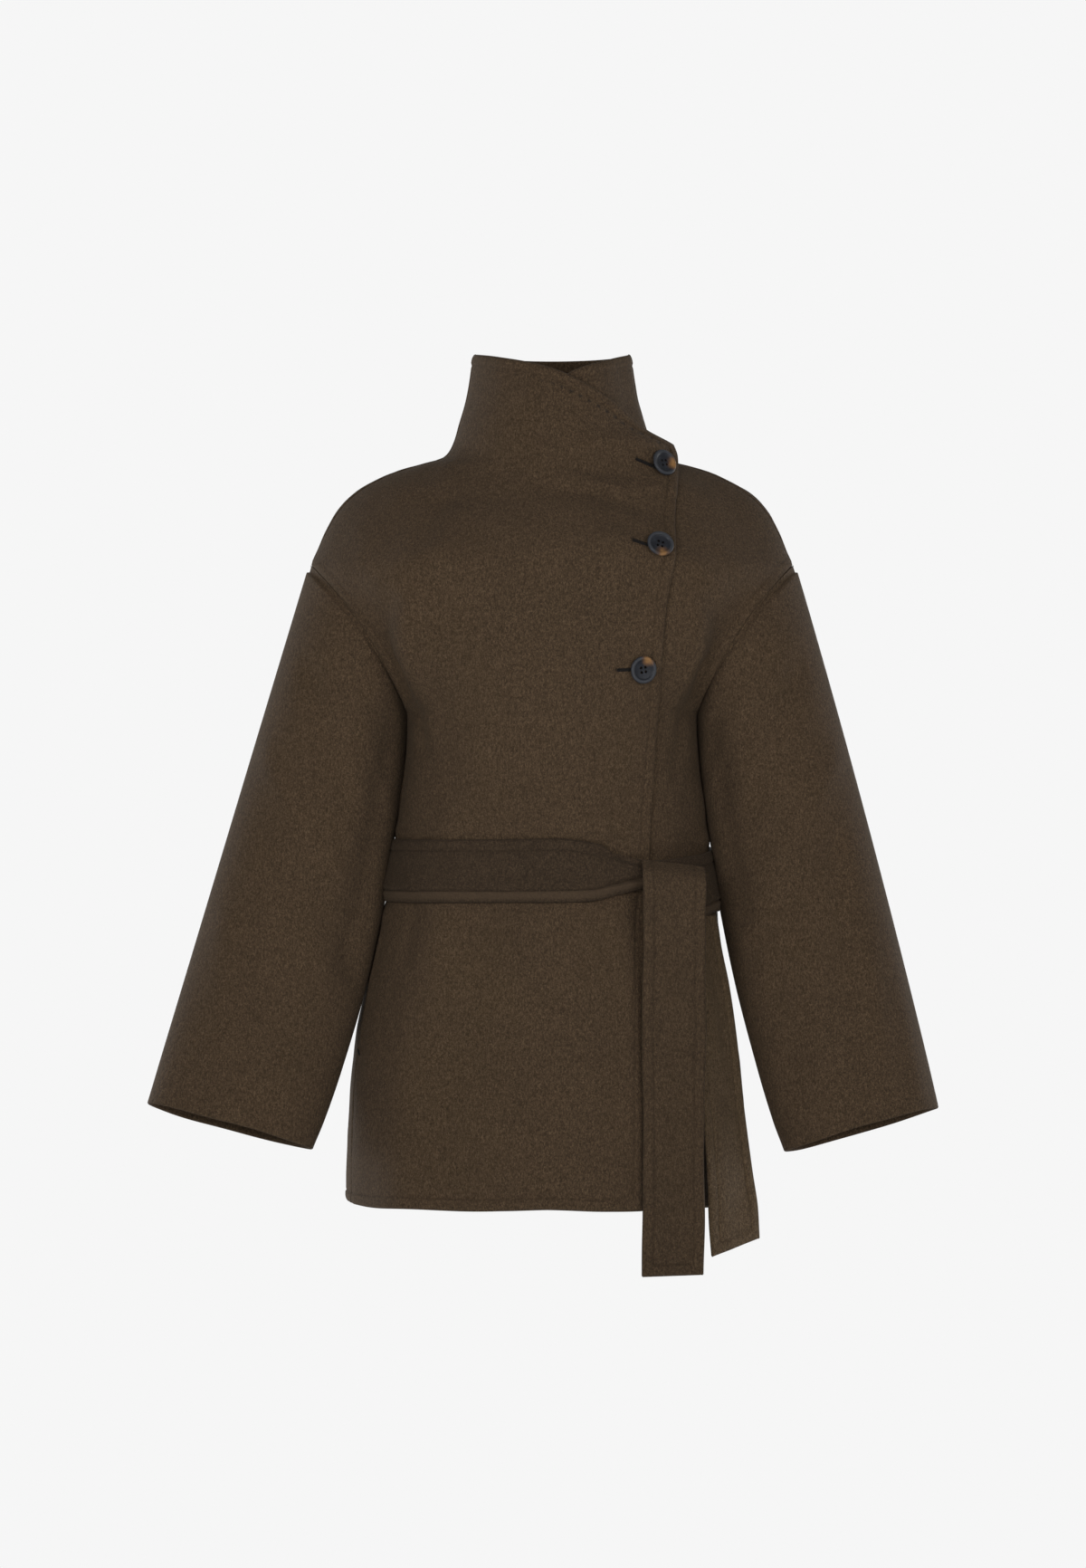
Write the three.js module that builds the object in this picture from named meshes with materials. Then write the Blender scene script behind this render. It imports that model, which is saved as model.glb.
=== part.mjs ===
// Short wrap coat in double-faced wool: funnel collar cut in one with the fronts, three buttons, tied belt.
// Millimetres, +Z up. The front faces -Y and the wearer's left side is at +X.
// The origin is at the middle of the neck base, where the wearer's neck and shoulders carry the coat.
import * as THREE from "three";

// Driving dimensions
const clothThickness = 2.4;
const seamGap = 0.3;
const frontsApart = 1.5;
const underInset = clothThickness + frontsApart;
const beltStandOff = 1.45;
const hemLength = { front: -699, side: -704.5, back: -708 };
const hemFanStart = -606;
const collarFanEnd = -50;
const backNeckRise = 12;
const buttonDiameter = 25.4;
const buttonThickness = 3.6;
const threadShank = { radius: 2.6, height: 2 };
const hiddenEdgeInset = 2;
const underReach = 0.62;
const sleeveFoldFadeIn = 0.13;
const armholeDipEnd = 0.2;
const bowRoundness = 0.7;
const normalStep = 0.004;
const heightStep = 0.5;

// Depth of the body in front of and behind the side line, and how round its level sections are.
// Roundness 2 is an ellipse, and under 2 the section comes to a narrow shoulder.
const profile = [
  { z: 97, shift: 0, front: 74, back: 62, roundness: 2 },
  { z: 62, shift: 0, front: 77, back: 64, roundness: 2 },
  { z: 30, shift: 0, front: 80.5, back: 66, roundness: 2 },
  { z: 10, shift: 0, front: 83, back: 69, roundness: 1.9 },
  { z: 0, shift: 0, front: 84, back: 74, roundness: 1.7 },
  { z: -8, shift: 0, front: 84.5, back: 82, roundness: 1.5 },
  { z: -20, shift: 0, front: 86, back: 91, roundness: 1.45 },
  { z: -50, shift: 0, front: 96.5, back: 100, roundness: 1.6 },
  { z: -103, shift: 0, front: 114, back: 109, roundness: 2 },
  { z: -170, shift: 0, front: 123, back: 111, roundness: 2.1 },
  { z: -205, shift: 0, front: 126, back: 108, roundness: 2.15 },
  { z: -243, shift: 0, front: 124.5, back: 103, roundness: 2.2 },
  { z: -300, shift: 0, front: 119, back: 94, roundness: 2.2 },
  { z: -345, shift: 0, front: 113, back: 87.5, roundness: 2.2 },
  { z: -394, shift: -1, front: 108.5, back: 84, roundness: 2.2 },
  { z: -430, shift: -2, front: 114, back: 87, roundness: 2.2 },
  { z: -500, shift: -5, front: 124, back: 99, roundness: 2.2 },
  { z: -606, shift: -5.5, front: 134, back: 113, roundness: 2.2 },
  { z: -714, shift: -5.5, front: 141, back: 120, roundness: 2.2 },
];

// Half widths of the collar and shoulders, and of the body below the armholes.
const shoulderWidths = [
  { z: 97, half: 74.5 },
  { z: 62, half: 80 },
  { z: 30, half: 88 },
  { z: 10, half: 94.5 },
  { z: 0, half: 101.5 },
  { z: -4, half: 111 },
  { z: -8, half: 127 },
  { z: -13.5, half: 147 },
  { z: -21, half: 165 },
  { z: -33, half: 187 },
  { z: -50, half: 205 },
  { z: -70, half: 217 },
  { z: -88, half: 224.5 },
];
const bodyWidths = [
  { z: -270, half: 138 },
  { z: -300, half: 141 },
  { z: -332, half: 145.5 },
  { z: -363, half: 147.5 },
  { z: -394, half: 151.5 },
  { z: -425, half: 156.5 },
  { z: -455, half: 163 },
  { z: -500, half: 171.5 },
  { z: -550, half: 180.5 },
  { z: -606, half: 187 },
  { z: -660, half: 189 },
  { z: -714, half: 189.5 },
];

// The over front's right half stands wider than the neck, as a free corner that ends at its front edge.
const flapWidths = [
  { z: 97, half: 74.5 },
  { z: 75, half: 79 },
  { z: 50, half: 88 },
  { z: 23, half: 101 },
  { z: 10, half: 121 },
  { z: -1, half: 133 },
  { z: -16, half: 156 },
  { z: -33, half: 188 },
  { z: -50, half: 206 },
  { z: -70, half: 217 },
];
const frontEdge = [
  { z: 9.5, x: 115 },
  { z: -1, x: 118.5 },
  { z: -16, x: 118.5 },
  { z: -87, x: 112.4 },
  { z: -155, x: 104 },
  { z: -255, x: 97.2 },
  { z: -376, x: 90 },
  { z: -560, x: 86 },
  { z: -714, x: 83.4 },
];

// Top edge of a front from the side of the neck (share 0) to its front corner (share 1).
const collarTop = [
  { share: 0, z: 97 },
  { share: 0.3, z: 88 },
  { share: 0.58, z: 74 },
  { share: 0.78, z: 50.5 },
  { share: 0.93, z: 24 },
  { share: 1, z: 9.5 },
];

// The armhole runs from the shoulder tip to the underarm, dips toward the neck in between
// and stands this deep in front of and behind the side line.
const armhole = { tipX: 228.5, tipZ: -103, underX: 138, underZ: -243, dip: 9.5, front: 62, back: 68 };
const armholeSteps = 10;

// Inner line of a sleeve, which hangs beside the body. Its outer line bows out between tip and cuff.
const sleeveInnerLine = [
  { z: -243, x: 138 },
  { z: -268, x: 139.6 },
  { z: -300, x: 142.4 },
  { z: -345, x: 148.4 },
  { z: -366, x: 152.2 },
  { z: -395, x: 156.4 },
  { z: -426, x: 161 },
  { z: -503, x: 178 },
  { z: -580, x: 200.5 },
  { z: -625, x: 216 },
  { z: -650, x: 226.5 },
];
const sleeveDepth = [
  { share: 0, front: 62, back: 68, centre: 0, lift: 0 },
  { share: 0.14, front: 59, back: 63, centre: -5, lift: 0 },
  { share: 0.35, front: 55, back: 56, centre: -15, lift: 2 },
  { share: 0.6, front: 49, back: 50, centre: -28, lift: 5 },
  { share: 0.8, front: 44, back: 45, centre: -41, lift: 7 },
  { share: 1, front: 39, back: 39, centre: -57, lift: 8 },
];
const sleeveShares = [0, 0.05, 0.13, 0.23, 0.34, 0.46, 0.58, 0.7, 0.82, 0.92, 1];
const sleeves = [
  { name: "sleeve_right", side: -1, cuffOuter: [376, -609], cuffInner: [226, -650], bow: 0.6, cuffFullness: 1 },
  { name: "sleeve_left", side: 1, cuffOuter: [358.5, -613], cuffInner: [219, -653], bow: 4.6, cuffFullness: 1.12 },
];

// Soft folds of the body: a ridge or hollow along a line between two places, each an angle round the body
// in degrees (0 at the front, positive to +X) and a height. Width is the half width of the fold.
const bodyFolds = [
  { name: "ridge before right armpit", from: [-33, -95], to: [-60, -262], width: 20, height: 6 },
  { name: "hollow at right armhole", from: [-50, -150], to: [-68, -225], width: 16, height: -5 },
  { name: "ridge before left armpit", from: [36, -110], to: [60, -262], width: 20, height: 6 },
  { name: "hollow at left armhole", from: [52, -150], to: [68, -225], width: 16, height: -5 },
  { name: "drag under collar", from: [-6, -28], to: [34, -56], width: 13, height: -3.5 },
  { name: "drag over chest", from: [-30, -60], to: [22, -88], width: 16, height: 2.5 },
  { name: "collar base hollow", from: [-50, -16], to: [-22, -24], width: 16, height: -2 },
  { name: "waist fullness right", from: [-24, -300], to: [-40, -352], width: 18, height: 3 },
  { name: "waist fullness left", from: [16, -305], to: [8, -352], width: 18, height: 2.5 },
  { name: "skirt fold right", from: [-38, -440], to: [-46, -700], width: 24, height: 4 },
  { name: "skirt hollow right", from: [-20, -450], to: [-26, -690], width: 24, height: -3 },
  { name: "skirt fold middle", from: [4, -440], to: [2, -650], width: 26, height: 3 },
  { name: "skirt hollow left", from: [52, -450], to: [60, -700], width: 22, height: -4 },
  { name: "back fold right", from: [-150, -130], to: [-142, -350], width: 20, height: 5 },
  { name: "back hollow middle", from: [176, -110], to: [178, -345], width: 26, height: -5 },
  { name: "back fold left", from: [148, -130], to: [141, -350], width: 20, height: 5 },
  { name: "back waist hollow right", from: [-122, -290], to: [-126, -352], width: 15, height: -4 },
  { name: "back waist hollow left", from: [124, -285], to: [121, -352], width: 15, height: -4 },
  { name: "back skirt fold right", from: [-140, -440], to: [-134, -705], width: 24, height: 6 },
  { name: "back skirt hollow", from: [-164, -445], to: [-167, -705], width: 22, height: -4 },
  { name: "back skirt fold middle", from: [172, -455], to: [170, -705], width: 24, height: 5 },
  { name: "back skirt fold left", from: [136, -440], to: [130, -705], width: 24, height: 6 },
];
const foldMillimetresPerDegree = 2.3;

// Soft folds of a sleeve: angle round it (0 outside, 90 front, 180 underarm) and share of its length.
const sleeveFolds = [
  { name: "front break", from: [60, 0.16], to: [110, 0.3], width: 15, height: -3.5 },
  { name: "front ridge", from: [40, 0.34], to: [110, 0.44], width: 15, height: 2.5 },
  { name: "elbow hollow", from: [70, 0.5], to: [130, 0.56], width: 16, height: -3 },
  { name: "fore sleeve fold", from: [50, 0.66], to: [80, 0.95], width: 18, height: 3 },
  { name: "back elbow ridge", from: [-60, 0.42], to: [-120, 0.5], width: 18, height: 4 },
  { name: "back elbow hollow", from: [-60, 0.54], to: [-125, 0.6], width: 16, height: -3.5 },
  { name: "back fall", from: [-90, 0.12], to: [-80, 0.34], width: 20, height: -4 },
];
const sleeveMillimetresPerDegree = 1.1;
const sleeveLengthForFolds = 500;

// Belt: its edges and how far it stands off the coat, by angle round the body in degrees.
// It gathers into the knot, which sits right of the front.
const beltLine = [
  { angle: -180, top: -362, bottom: -420, out: 0.5 },
  { angle: -80, top: -363, bottom: -421, out: 0 },
  { angle: -10, top: -362, bottom: -419, out: 0 },
  { angle: 10, top: -367, bottom: -417, out: 0.8 },
  { angle: 27, top: -377, bottom: -405, out: 3.8 },
  { angle: 34, top: -382, bottom: -400, out: 4.6 },
  { angle: 50, top: -381, bottom: -408, out: 3.8 },
  { angle: 66, top: -377, bottom: -430, out: 1 },
  { angle: 90, top: -372, bottom: -430, out: 0 },
  { angle: 130, top: -366, bottom: -424, out: 0 },
  { angle: 180, top: -362, bottom: -420, out: 0.5 },
];

// Front tail: it folds over the top of the knot and hangs, flat to the front.
const frontTail = [
  { z: -380, left: 79, right: 135, leftY: -107, rightY: -92 },
  { z: -389, left: 79.5, right: 136, leftY: -118, rightY: -103 },
  { z: -405, left: 81, right: 137, leftY: -122, rightY: -107 },
  { z: -430, left: 82, right: 138, leftY: -121, rightY: -106 },
  { z: -470, left: 83, right: 139, leftY: -119, rightY: -104 },
  { z: -560, left: 83.5, right: 139.5, leftY: -123, rightY: -108 },
  { z: -650, left: 83.5, right: 139.5, leftY: -131, rightY: -116 },
  { z: -714, left: 83.5, right: 139.5, leftY: -135, rightY: -120 },
  { z: -760, left: 83, right: 138.5, leftY: -137, rightY: -122 },
];

// Side tail: it comes out under the knot and hangs flat beside the coat's front, turned to the side.
const sideTail = [
  { z: -434, left: 113, right: 154, leftY: -86, rightY: -39.5 },
  { z: -470, left: 120.5, right: 160.5, leftY: -90, rightY: -44 },
  { z: -500, left: 127, right: 166, leftY: -92, rightY: -47 },
  { z: -560, left: 135.5, right: 174, leftY: -93.5, rightY: -48 },
  { z: -620, left: 141.5, right: 180, leftY: -94.5, rightY: -50 },
  { z: -680, left: 145.5, right: 187, leftY: -95, rightY: -53 },
  { z: -715, left: 147, right: 192, leftY: -95, rightY: -57 },
  { z: -747, left: 149.5, right: 194.5, leftY: -94, rightY: -57 },
];
const sideTailSlant = 12.5;

// Knot: the rolled part of the belt between the waist stretch and the front tail.
const knot = { x: 109, y: -101.5, z: -410, turn: 25, halfWidth: 24, halfHeight: 18, halfDepth: 7.5 };

// Buttons on the over front, by place across and height. Seat is how far the shank's foot stands
// out from the smooth surface, so that it just clears the cloth.
const buttons = [
  { name: "button_top", x: 102.5, z: -11, seat: 1.3 },
  { name: "button_middle", x: 96.5, z: -91, seat: 0.5 },
  { name: "button_lower", x: 82.5, z: -205.3, seat: -0.2 },
];

const wool = { color: 0x45372a, roughness: 0.95, metalness: 0 };
const beltWool = { color: 0x46392b, roughness: 0.95, metalness: 0 };
const horn = { color: 0x2a2e36, roughness: 0.35, metalness: 0 };

const degrees = Math.PI / 180;

// Smooth curve through one named column of a table, going on straight past its ends.
function smoothColumn(table, position, value) {
  const places = table.map((row) => row[position]);
  const values = table.map((row) => row[value]);
  const last = table.length - 1;
  const direction = Math.sign(places[last] - places[0]);
  const slopes = values.map((_, i) => {
    const before = Math.max(i - 1, 0);
    const after = Math.min(i + 1, last);
    return (values[after] - values[before]) / (places[after] - places[before]);
  });
  return (place) => {
    if ((place - places[0]) * direction <= 0) return values[0] + slopes[0] * (place - places[0]);
    if ((place - places[last]) * direction >= 0) return values[last] + slopes[last] * (place - places[last]);
    let i = 0;
    while ((place - places[i + 1]) * direction > 0) i += 1;
    const span = places[i + 1] - places[i];
    const t = (place - places[i]) / span;
    const rise = values[i + 1] - values[i];
    const bend = t * (1 - t) * span;
    const blend = t * t * (3 - 2 * t);
    return values[i] + rise * blend + bend * ((1 - t) * slopes[i] - t * slopes[i + 1]);
  };
}

// Height of a soft fold at a place, from its distance to the fold's line.
function foldHeight(folds, angle, along, acrossScale, alongScale) {
  let height = 0;
  for (const fold of folds) {
    const ax = fold.from[0] * acrossScale;
    const az = fold.from[1] * alongScale;
    const bx = fold.to[0] * acrossScale;
    const bz = fold.to[1] * alongScale;
    const px = angle * acrossScale;
    const pz = along * alongScale;
    const lengthSquared = (bx - ax) ** 2 + (bz - az) ** 2;
    const share = ((px - ax) * (bx - ax) + (pz - az) * (bz - az)) / lengthSquared;
    const held = THREE.MathUtils.clamp(share, 0, 1);
    const distance = Math.hypot(px - ax - held * (bx - ax), pz - az - held * (bz - az));
    height += fold.height * Math.exp(-((distance / fold.width) ** 2));
  }
  return height;
}

// Place on the armhole, by its angle: 0 at the shoulder tip, 90 in front, 180 at the underarm, 270 behind.
function armholePoint(angle) {
  const share = (1 - Math.cos(angle)) / 2;
  const alongX = armhole.underX - armhole.tipX;
  const alongZ = armhole.underZ - armhole.tipZ;
  const length = Math.hypot(alongX, alongZ);
  const dip = armhole.dip * Math.sin(angle) ** 2;
  const x = armhole.tipX + alongX * share + (alongZ / length) * dip;
  const z = armhole.tipZ + alongZ * share - (alongX / length) * dip;
  const depth = Math.sin(angle) > 0 ? armhole.front : armhole.back;
  return new THREE.Vector3(x, -depth * Math.sin(angle), z);
}

const shiftAt = smoothColumn(profile, "z", "shift");
const frontDepthAt = smoothColumn(profile, "z", "front");
const backDepthAt = smoothColumn(profile, "z", "back");
const roundnessAt = smoothColumn(profile, "z", "roundness");

// Half widths through the armholes are worked out so that the section passes through the armhole's edge.
function widthsWithArmhole(side, depthAt) {
  const rows = [];
  for (let step = 0; step <= armholeSteps; step += 1) {
    const angle = (side * Math.PI * step) / armholeSteps;
    const place = armholePoint(angle);
    const power = roundnessAt(place.z);
    const share = Math.abs(place.y) / depthAt(place.z);
    rows.push({ z: place.z, half: place.x / (1 - share ** power) ** (1 / power) });
  }
  return [...shoulderWidths, ...rows, ...bodyWidths];
}
const frontHalfAt = smoothColumn(widthsWithArmhole(1, frontDepthAt), "z", "half");
const backHalfAt = smoothColumn(widthsWithArmhole(-1, backDepthAt), "z", "half");
const flapHalfTable = smoothColumn(flapWidths, "z", "half");
const flapEnd = flapWidths[flapWidths.length - 1].z;
const flapHalfAt = (z) => (z > flapEnd ? flapHalfTable(z) : frontHalfAt(z));
const frontEdgeAt = smoothColumn(frontEdge, "z", "x");

// Place on the coat's outer surface at an angle round the body and a height.
function bodySurface(angle, z, flap) {
  const ahead = Math.cos(angle) >= 0;
  const power = 2 / roundnessAt(z);
  let half = ahead ? frontHalfAt(z) : backHalfAt(z);
  if (flap && ahead && angle > 0) half = flapHalfAt(z);
  const depth = ahead ? frontDepthAt(z) : backDepthAt(z);
  const sine = Math.sin(angle);
  const cosine = Math.cos(angle);
  const turned = Math.atan2(sine, cosine) / degrees;
  const fold = foldHeight(bodyFolds, turned, z, foldMillimetresPerDegree, 1);
  const x = shiftAt(z) + Math.sign(sine) * half * Math.abs(sine) ** power;
  const y = -Math.sign(cosine) * depth * Math.abs(cosine) ** power;
  return new THREE.Vector3(x + fold * sine, y - fold * cosine, z);
}

// Outward direction of the surface, from four places close by.
function bodyNormal(angle, z, flap) {
  const round = bodySurface(angle + normalStep, z, flap).sub(bodySurface(angle - normalStep, z, flap));
  const up = bodySurface(angle, z + heightStep, flap).sub(bodySurface(angle, z - heightStep, flap));
  return round.cross(up).normalize();
}

function bodyPlace(angle, z, out, flap = false) {
  return bodySurface(angle, z, flap).addScaledVector(bodyNormal(angle, z, flap), out);
}

// Angle at which the surface in front is this far across, kept within its reach.
function angleAcross(x, z, halfAt, reach = 0.97) {
  const share = THREE.MathUtils.clamp((x - shiftAt(z)) / halfAt(z), -reach, reach);
  return Math.sign(share) * Math.asin(Math.abs(share) ** (roundnessAt(z) / 2));
}

// Heights of the rows that all body panels share, so that their seams match point for point.
const armholeHeights = [];
for (let step = 0; step <= armholeSteps; step += 1) {
  armholeHeights.push(armholePoint((Math.PI * step) / armholeSteps).z);
}
const collarHeights = [97, 62, 30, 10];
const shoulderHeights = [0, -4, -8, -13.5, -21, -33, -50, -70, -88];
const skirtHeights = [-300, -332, -363, -384, -404, -428, -455, -500, -550, -606, -660, -714];
const rowHeights = [...collarHeights, ...shoulderHeights, ...armholeHeights, ...skirtHeights];
const firstArmholeRow = collarHeights.length + shoulderHeights.length;
const lastArmholeRow = firstArmholeRow + armholeSteps;

// The side seam hangs from the underarm and swings a little to the front below it.
const sideSeamSwing = [
  { z: -243, angle: 90 },
  { z: -300, angle: 84 },
  { z: -394, angle: 78 },
  { z: -714, angle: 74 },
];
const sideSeamAngle = smoothColumn(sideSeamSwing, "z", "angle");

// Angle of a panel's side edge: neck side, shoulder seam, armhole and side seam in turn.
function sideAngle(row, z, behind) {
  if (row < firstArmholeRow) return 90 * degrees;
  if (row <= lastArmholeRow) {
    const place = armholePoint((Math.PI * (row - firstArmholeRow)) / armholeSteps);
    const depth = behind ? armhole.back : armhole.front;
    const reach = depth * Math.sin((Math.PI * (row - firstArmholeRow)) / armholeSteps);
    const depthAt = behind ? backDepthAt : frontDepthAt;
    const share = Math.min(reach / depthAt(place.z), 1);
    const angle = Math.acos(share ** (roundnessAt(place.z) / 2));
    return behind ? Math.PI - angle : angle;
  }
  return sideSeamAngle(z) * degrees;
}

// Height of a row at a place: rows fan out to the collar's top edge and to the hem.
const hemTable = [
  { angle: 0, z: hemLength.front },
  { angle: 90, z: hemLength.side },
  { angle: 180, z: hemLength.back },
];
const hemAt = smoothColumn(hemTable, "angle", "z");

function rowHeight(row, topRow, topEdge, angle) {
  const level = rowHeights[row];
  if (level > collarFanEnd) {
    const share = (rowHeights[topRow] - level) / (rowHeights[topRow] - collarFanEnd);
    return topEdge + (collarFanEnd - topEdge) * share;
  }
  if (level < hemFanStart) {
    const share = (hemFanStart - level) / (hemFanStart - rowHeights[rowHeights.length - 1]);
    const turned = Math.abs(Math.atan2(Math.sin(angle), Math.cos(angle))) / degrees;
    return hemFanStart + (hemAt(turned) - hemFanStart) * share;
  }
  return level;
}

// Closed wall between an outer and an inner grid of points, with rims at its open edges.
function wallMesh(name, outer, inner, material, closed = false) {
  const rows = outer.length;
  const columns = outer[0].length;
  const positions = [];
  for (const grid of [outer, inner]) {
    for (const row of grid) {
      for (const point of row) positions.push(point.x, point.y, point.z);
    }
  }
  const layer = rows * columns;
  const at = (side, row, column) => side * layer + row * columns + (column % columns);
  const indices = [];
  const quad = (a, b, c, d) => indices.push(a, b, c, a, c, d);
  const spans = closed ? columns : columns - 1;
  for (let row = 0; row < rows - 1; row += 1) {
    for (let column = 0; column < spans; column += 1) {
      const next = column + 1;
      quad(at(0, row, column), at(0, row + 1, column), at(0, row + 1, next), at(0, row, next));
      quad(at(1, row, column), at(1, row, next), at(1, row + 1, next), at(1, row + 1, column));
    }
  }
  for (let column = 0; column < spans; column += 1) {
    const next = column + 1;
    const end = rows - 1;
    quad(at(0, 0, column), at(0, 0, next), at(1, 0, next), at(1, 0, column));
    quad(at(0, end, column), at(1, end, column), at(1, end, next), at(0, end, next));
  }
  for (let row = 0; row < rows - 1 && !closed; row += 1) {
    const end = columns - 1;
    quad(at(0, row, 0), at(1, row, 0), at(1, row + 1, 0), at(0, row + 1, 0));
    quad(at(0, row, end), at(0, row + 1, end), at(1, row + 1, end), at(1, row, end));
  }
  const geometry = new THREE.BufferGeometry();
  geometry.setAttribute("position", new THREE.Float32BufferAttribute(positions, 3));
  geometry.setIndex(indices);
  geometry.computeVertexNormals();
  const mesh = new THREE.Mesh(geometry, new THREE.MeshStandardMaterial(material));
  mesh.name = name;
  return mesh;
}

// Outward direction that a panel and its sleeve share at the armhole, so that their rims meet face to face.
function armholeMitre(angle, side) {
  const outward = 0.6 * Math.max(Math.cos(angle), 0) + 0.35 * Math.abs(Math.sin(angle));
  return new THREE.Vector3(side * outward, -Math.sin(angle), Math.cos(angle)).normalize();
}

// Seam point pair at the armhole: outer point moved half a gap to the panel (-1) or the sleeve (+1).
function armholeSeam(step, side, toward) {
  const stepAngle = Math.PI / armholeSteps;
  const angle = step * stepAngle;
  const place = armholePoint(angle);
  const ahead = armholePoint(angle + stepAngle / 2).sub(armholePoint(angle - stepAngle / 2));
  place.x *= side;
  ahead.x *= side;
  const mitre = armholeMitre(angle, side);
  const across = ahead.cross(mitre).normalize();
  if (across.x * side < 0) across.negate();
  const outer = place.addScaledVector(across, (toward * seamGap) / 2);
  return { outer, inner: outer.clone().addScaledVector(mitre, -clothThickness) };
}

// Panel of the body. Its edges are given by angle for each row, and its cloth lies "out" from the surface.
function bodyPanel(name, shape) {
  const outer = [];
  const inner = [];
  for (let row = shape.topRow; row < rowHeights.length; row += 1) {
    const outerRow = [];
    const innerRow = [];
    for (let column = 0; column <= shape.columns; column += 1) {
      const share = column / shape.columns;
      const topEdge = shape.topEdge(share);
      const guess = shape.angle(row, rowHeights[row], share);
      const z = rowHeight(row, shape.topRow, topEdge, guess);
      const angle = shape.angle(row, z, share);
      const out = shape.out ? shape.out(angle) : 0;
      const seams = shape.seam ? shape.seam(row, column) : 0;
      const point = bodyPlace(angle, z, out, shape.flap);
      const within = bodyPlace(angle, z, out - clothThickness, shape.flap);
      if (seams) {
        const shift = bodySurface(angle - normalStep * seams, z, shape.flap);
        shift.sub(bodySurface(angle + normalStep * seams, z, shape.flap)).setLength(seamGap / 2);
        point.add(shift);
        within.add(shift);
      }
      const step = row - firstArmholeRow;
      const armholeSide = shape.armholeSide ? shape.armholeSide(column) : 0;
      if (armholeSide && step >= 0 && step <= armholeSteps) {
        const pair = armholeSeam(shape.behind ? -step : step, armholeSide, -1);
        if (step === 0 || step === armholeSteps) {
          const apart = (shape.behind ? 1 : -1) * seamGap;
          pair.outer.y += apart;
          pair.inner.y += apart;
        }
        outerRow.push(pair.outer);
        innerRow.push(pair.inner);
      } else {
        outerRow.push(point);
        innerRow.push(within);
      }
    }
    outer.push(outerRow);
    inner.push(innerRow);
  }
  return wallMesh(name, outer, inner, wool);
}

const collarTopAt = smoothColumn(collarTop, "share", "z");
const frontColumns = 20;
const underColumns = 16;
const backColumns = 26;
const backCollarColumns = 12;

function overFront() {
  return bodyPanel("front_over", {
    topRow: 0,
    columns: frontColumns,
    flap: true,
    topEdge: collarTopAt,
    angle: (row, z, share) => {
      const side = -sideAngle(row, z, false);
      const level = Math.min(z, frontEdge[0].z);
      const edge = angleAcross(frontEdgeAt(level), level, flapHalfAt);
      return side + (edge - side) * share;
    },
    seam: (row, column) => (column === 0 ? -1 : 0),
    armholeSide: (column) => (column === 0 ? -1 : 0),
  });
}

function underFront() {
  const fadeStart = 58 * degrees;
  const fadeEnd = 80 * degrees;
  return bodyPanel("front_under", {
    topRow: 0,
    columns: underColumns,
    topEdge: (share) => collarTopAt(1 - share),
    angle: (row, z, share) => {
      const side = sideAngle(row, z, false);
      const level = Math.min(z, frontEdge[0].z);
      const edge = angleAcross(-frontEdgeAt(level), level, frontHalfAt, underReach);
      return edge + (side - edge) * share;
    },
    out: (angle) => {
      const hidden = hiddenEdgeInset * THREE.MathUtils.smoothstep(-angle, 0, 30 * degrees);
      return underInset * (THREE.MathUtils.smoothstep(angle, fadeStart, fadeEnd) - 1) - hidden;
    },
    seam: (row, column) => (column === underColumns ? 1 : 0),
    armholeSide: (column) => (column === underColumns ? 1 : 0),
  });
}

function backPanel() {
  return bodyPanel("back", {
    topRow: collarHeights.length,
    columns: backColumns,
    behind: true,
    topEdge: (share) => backNeckRise * Math.sin(Math.PI * share) - seamGap / 2,
    angle: (row, z, share) => {
      const side = sideAngle(row, z, true);
      return side + (2 * Math.PI - 2 * side) * share;
    },
    seam: (row, column) => (column === 0 ? -1 : column === backColumns ? 1 : 0),
    armholeSide: (column) => (column === 0 ? 1 : column === backColumns ? -1 : 0),
  });
}

function backCollar() {
  const outer = [];
  const inner = [];
  const heights = [...collarHeights, shoulderHeights[0]];
  heights.forEach((level, row) => {
    const outerRow = [];
    const innerRow = [];
    for (let column = 0; column <= backCollarColumns; column += 1) {
      const share = column / backCollarColumns;
      const bottom = backNeckRise * Math.sin(Math.PI * share) + seamGap / 2;
      const z = heights[0] + ((heights[0] - level) / heights[0]) * (bottom - heights[0]);
      const angle = (90 + 180 * share) * degrees;
      const sideShift = column === 0 ? seamGap / 2 : column === backCollarColumns ? seamGap / 2 : 0;
      for (const [target, out] of [[outerRow, 0], [innerRow, -clothThickness]]) {
        const point = bodyPlace(angle, z, out);
        point.y += sideShift;
        target.push(point);
      }
    }
    outer.push(outerRow);
    inner.push(innerRow);
  });
  return wallMesh("collar_back", outer, inner, wool);
}

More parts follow.
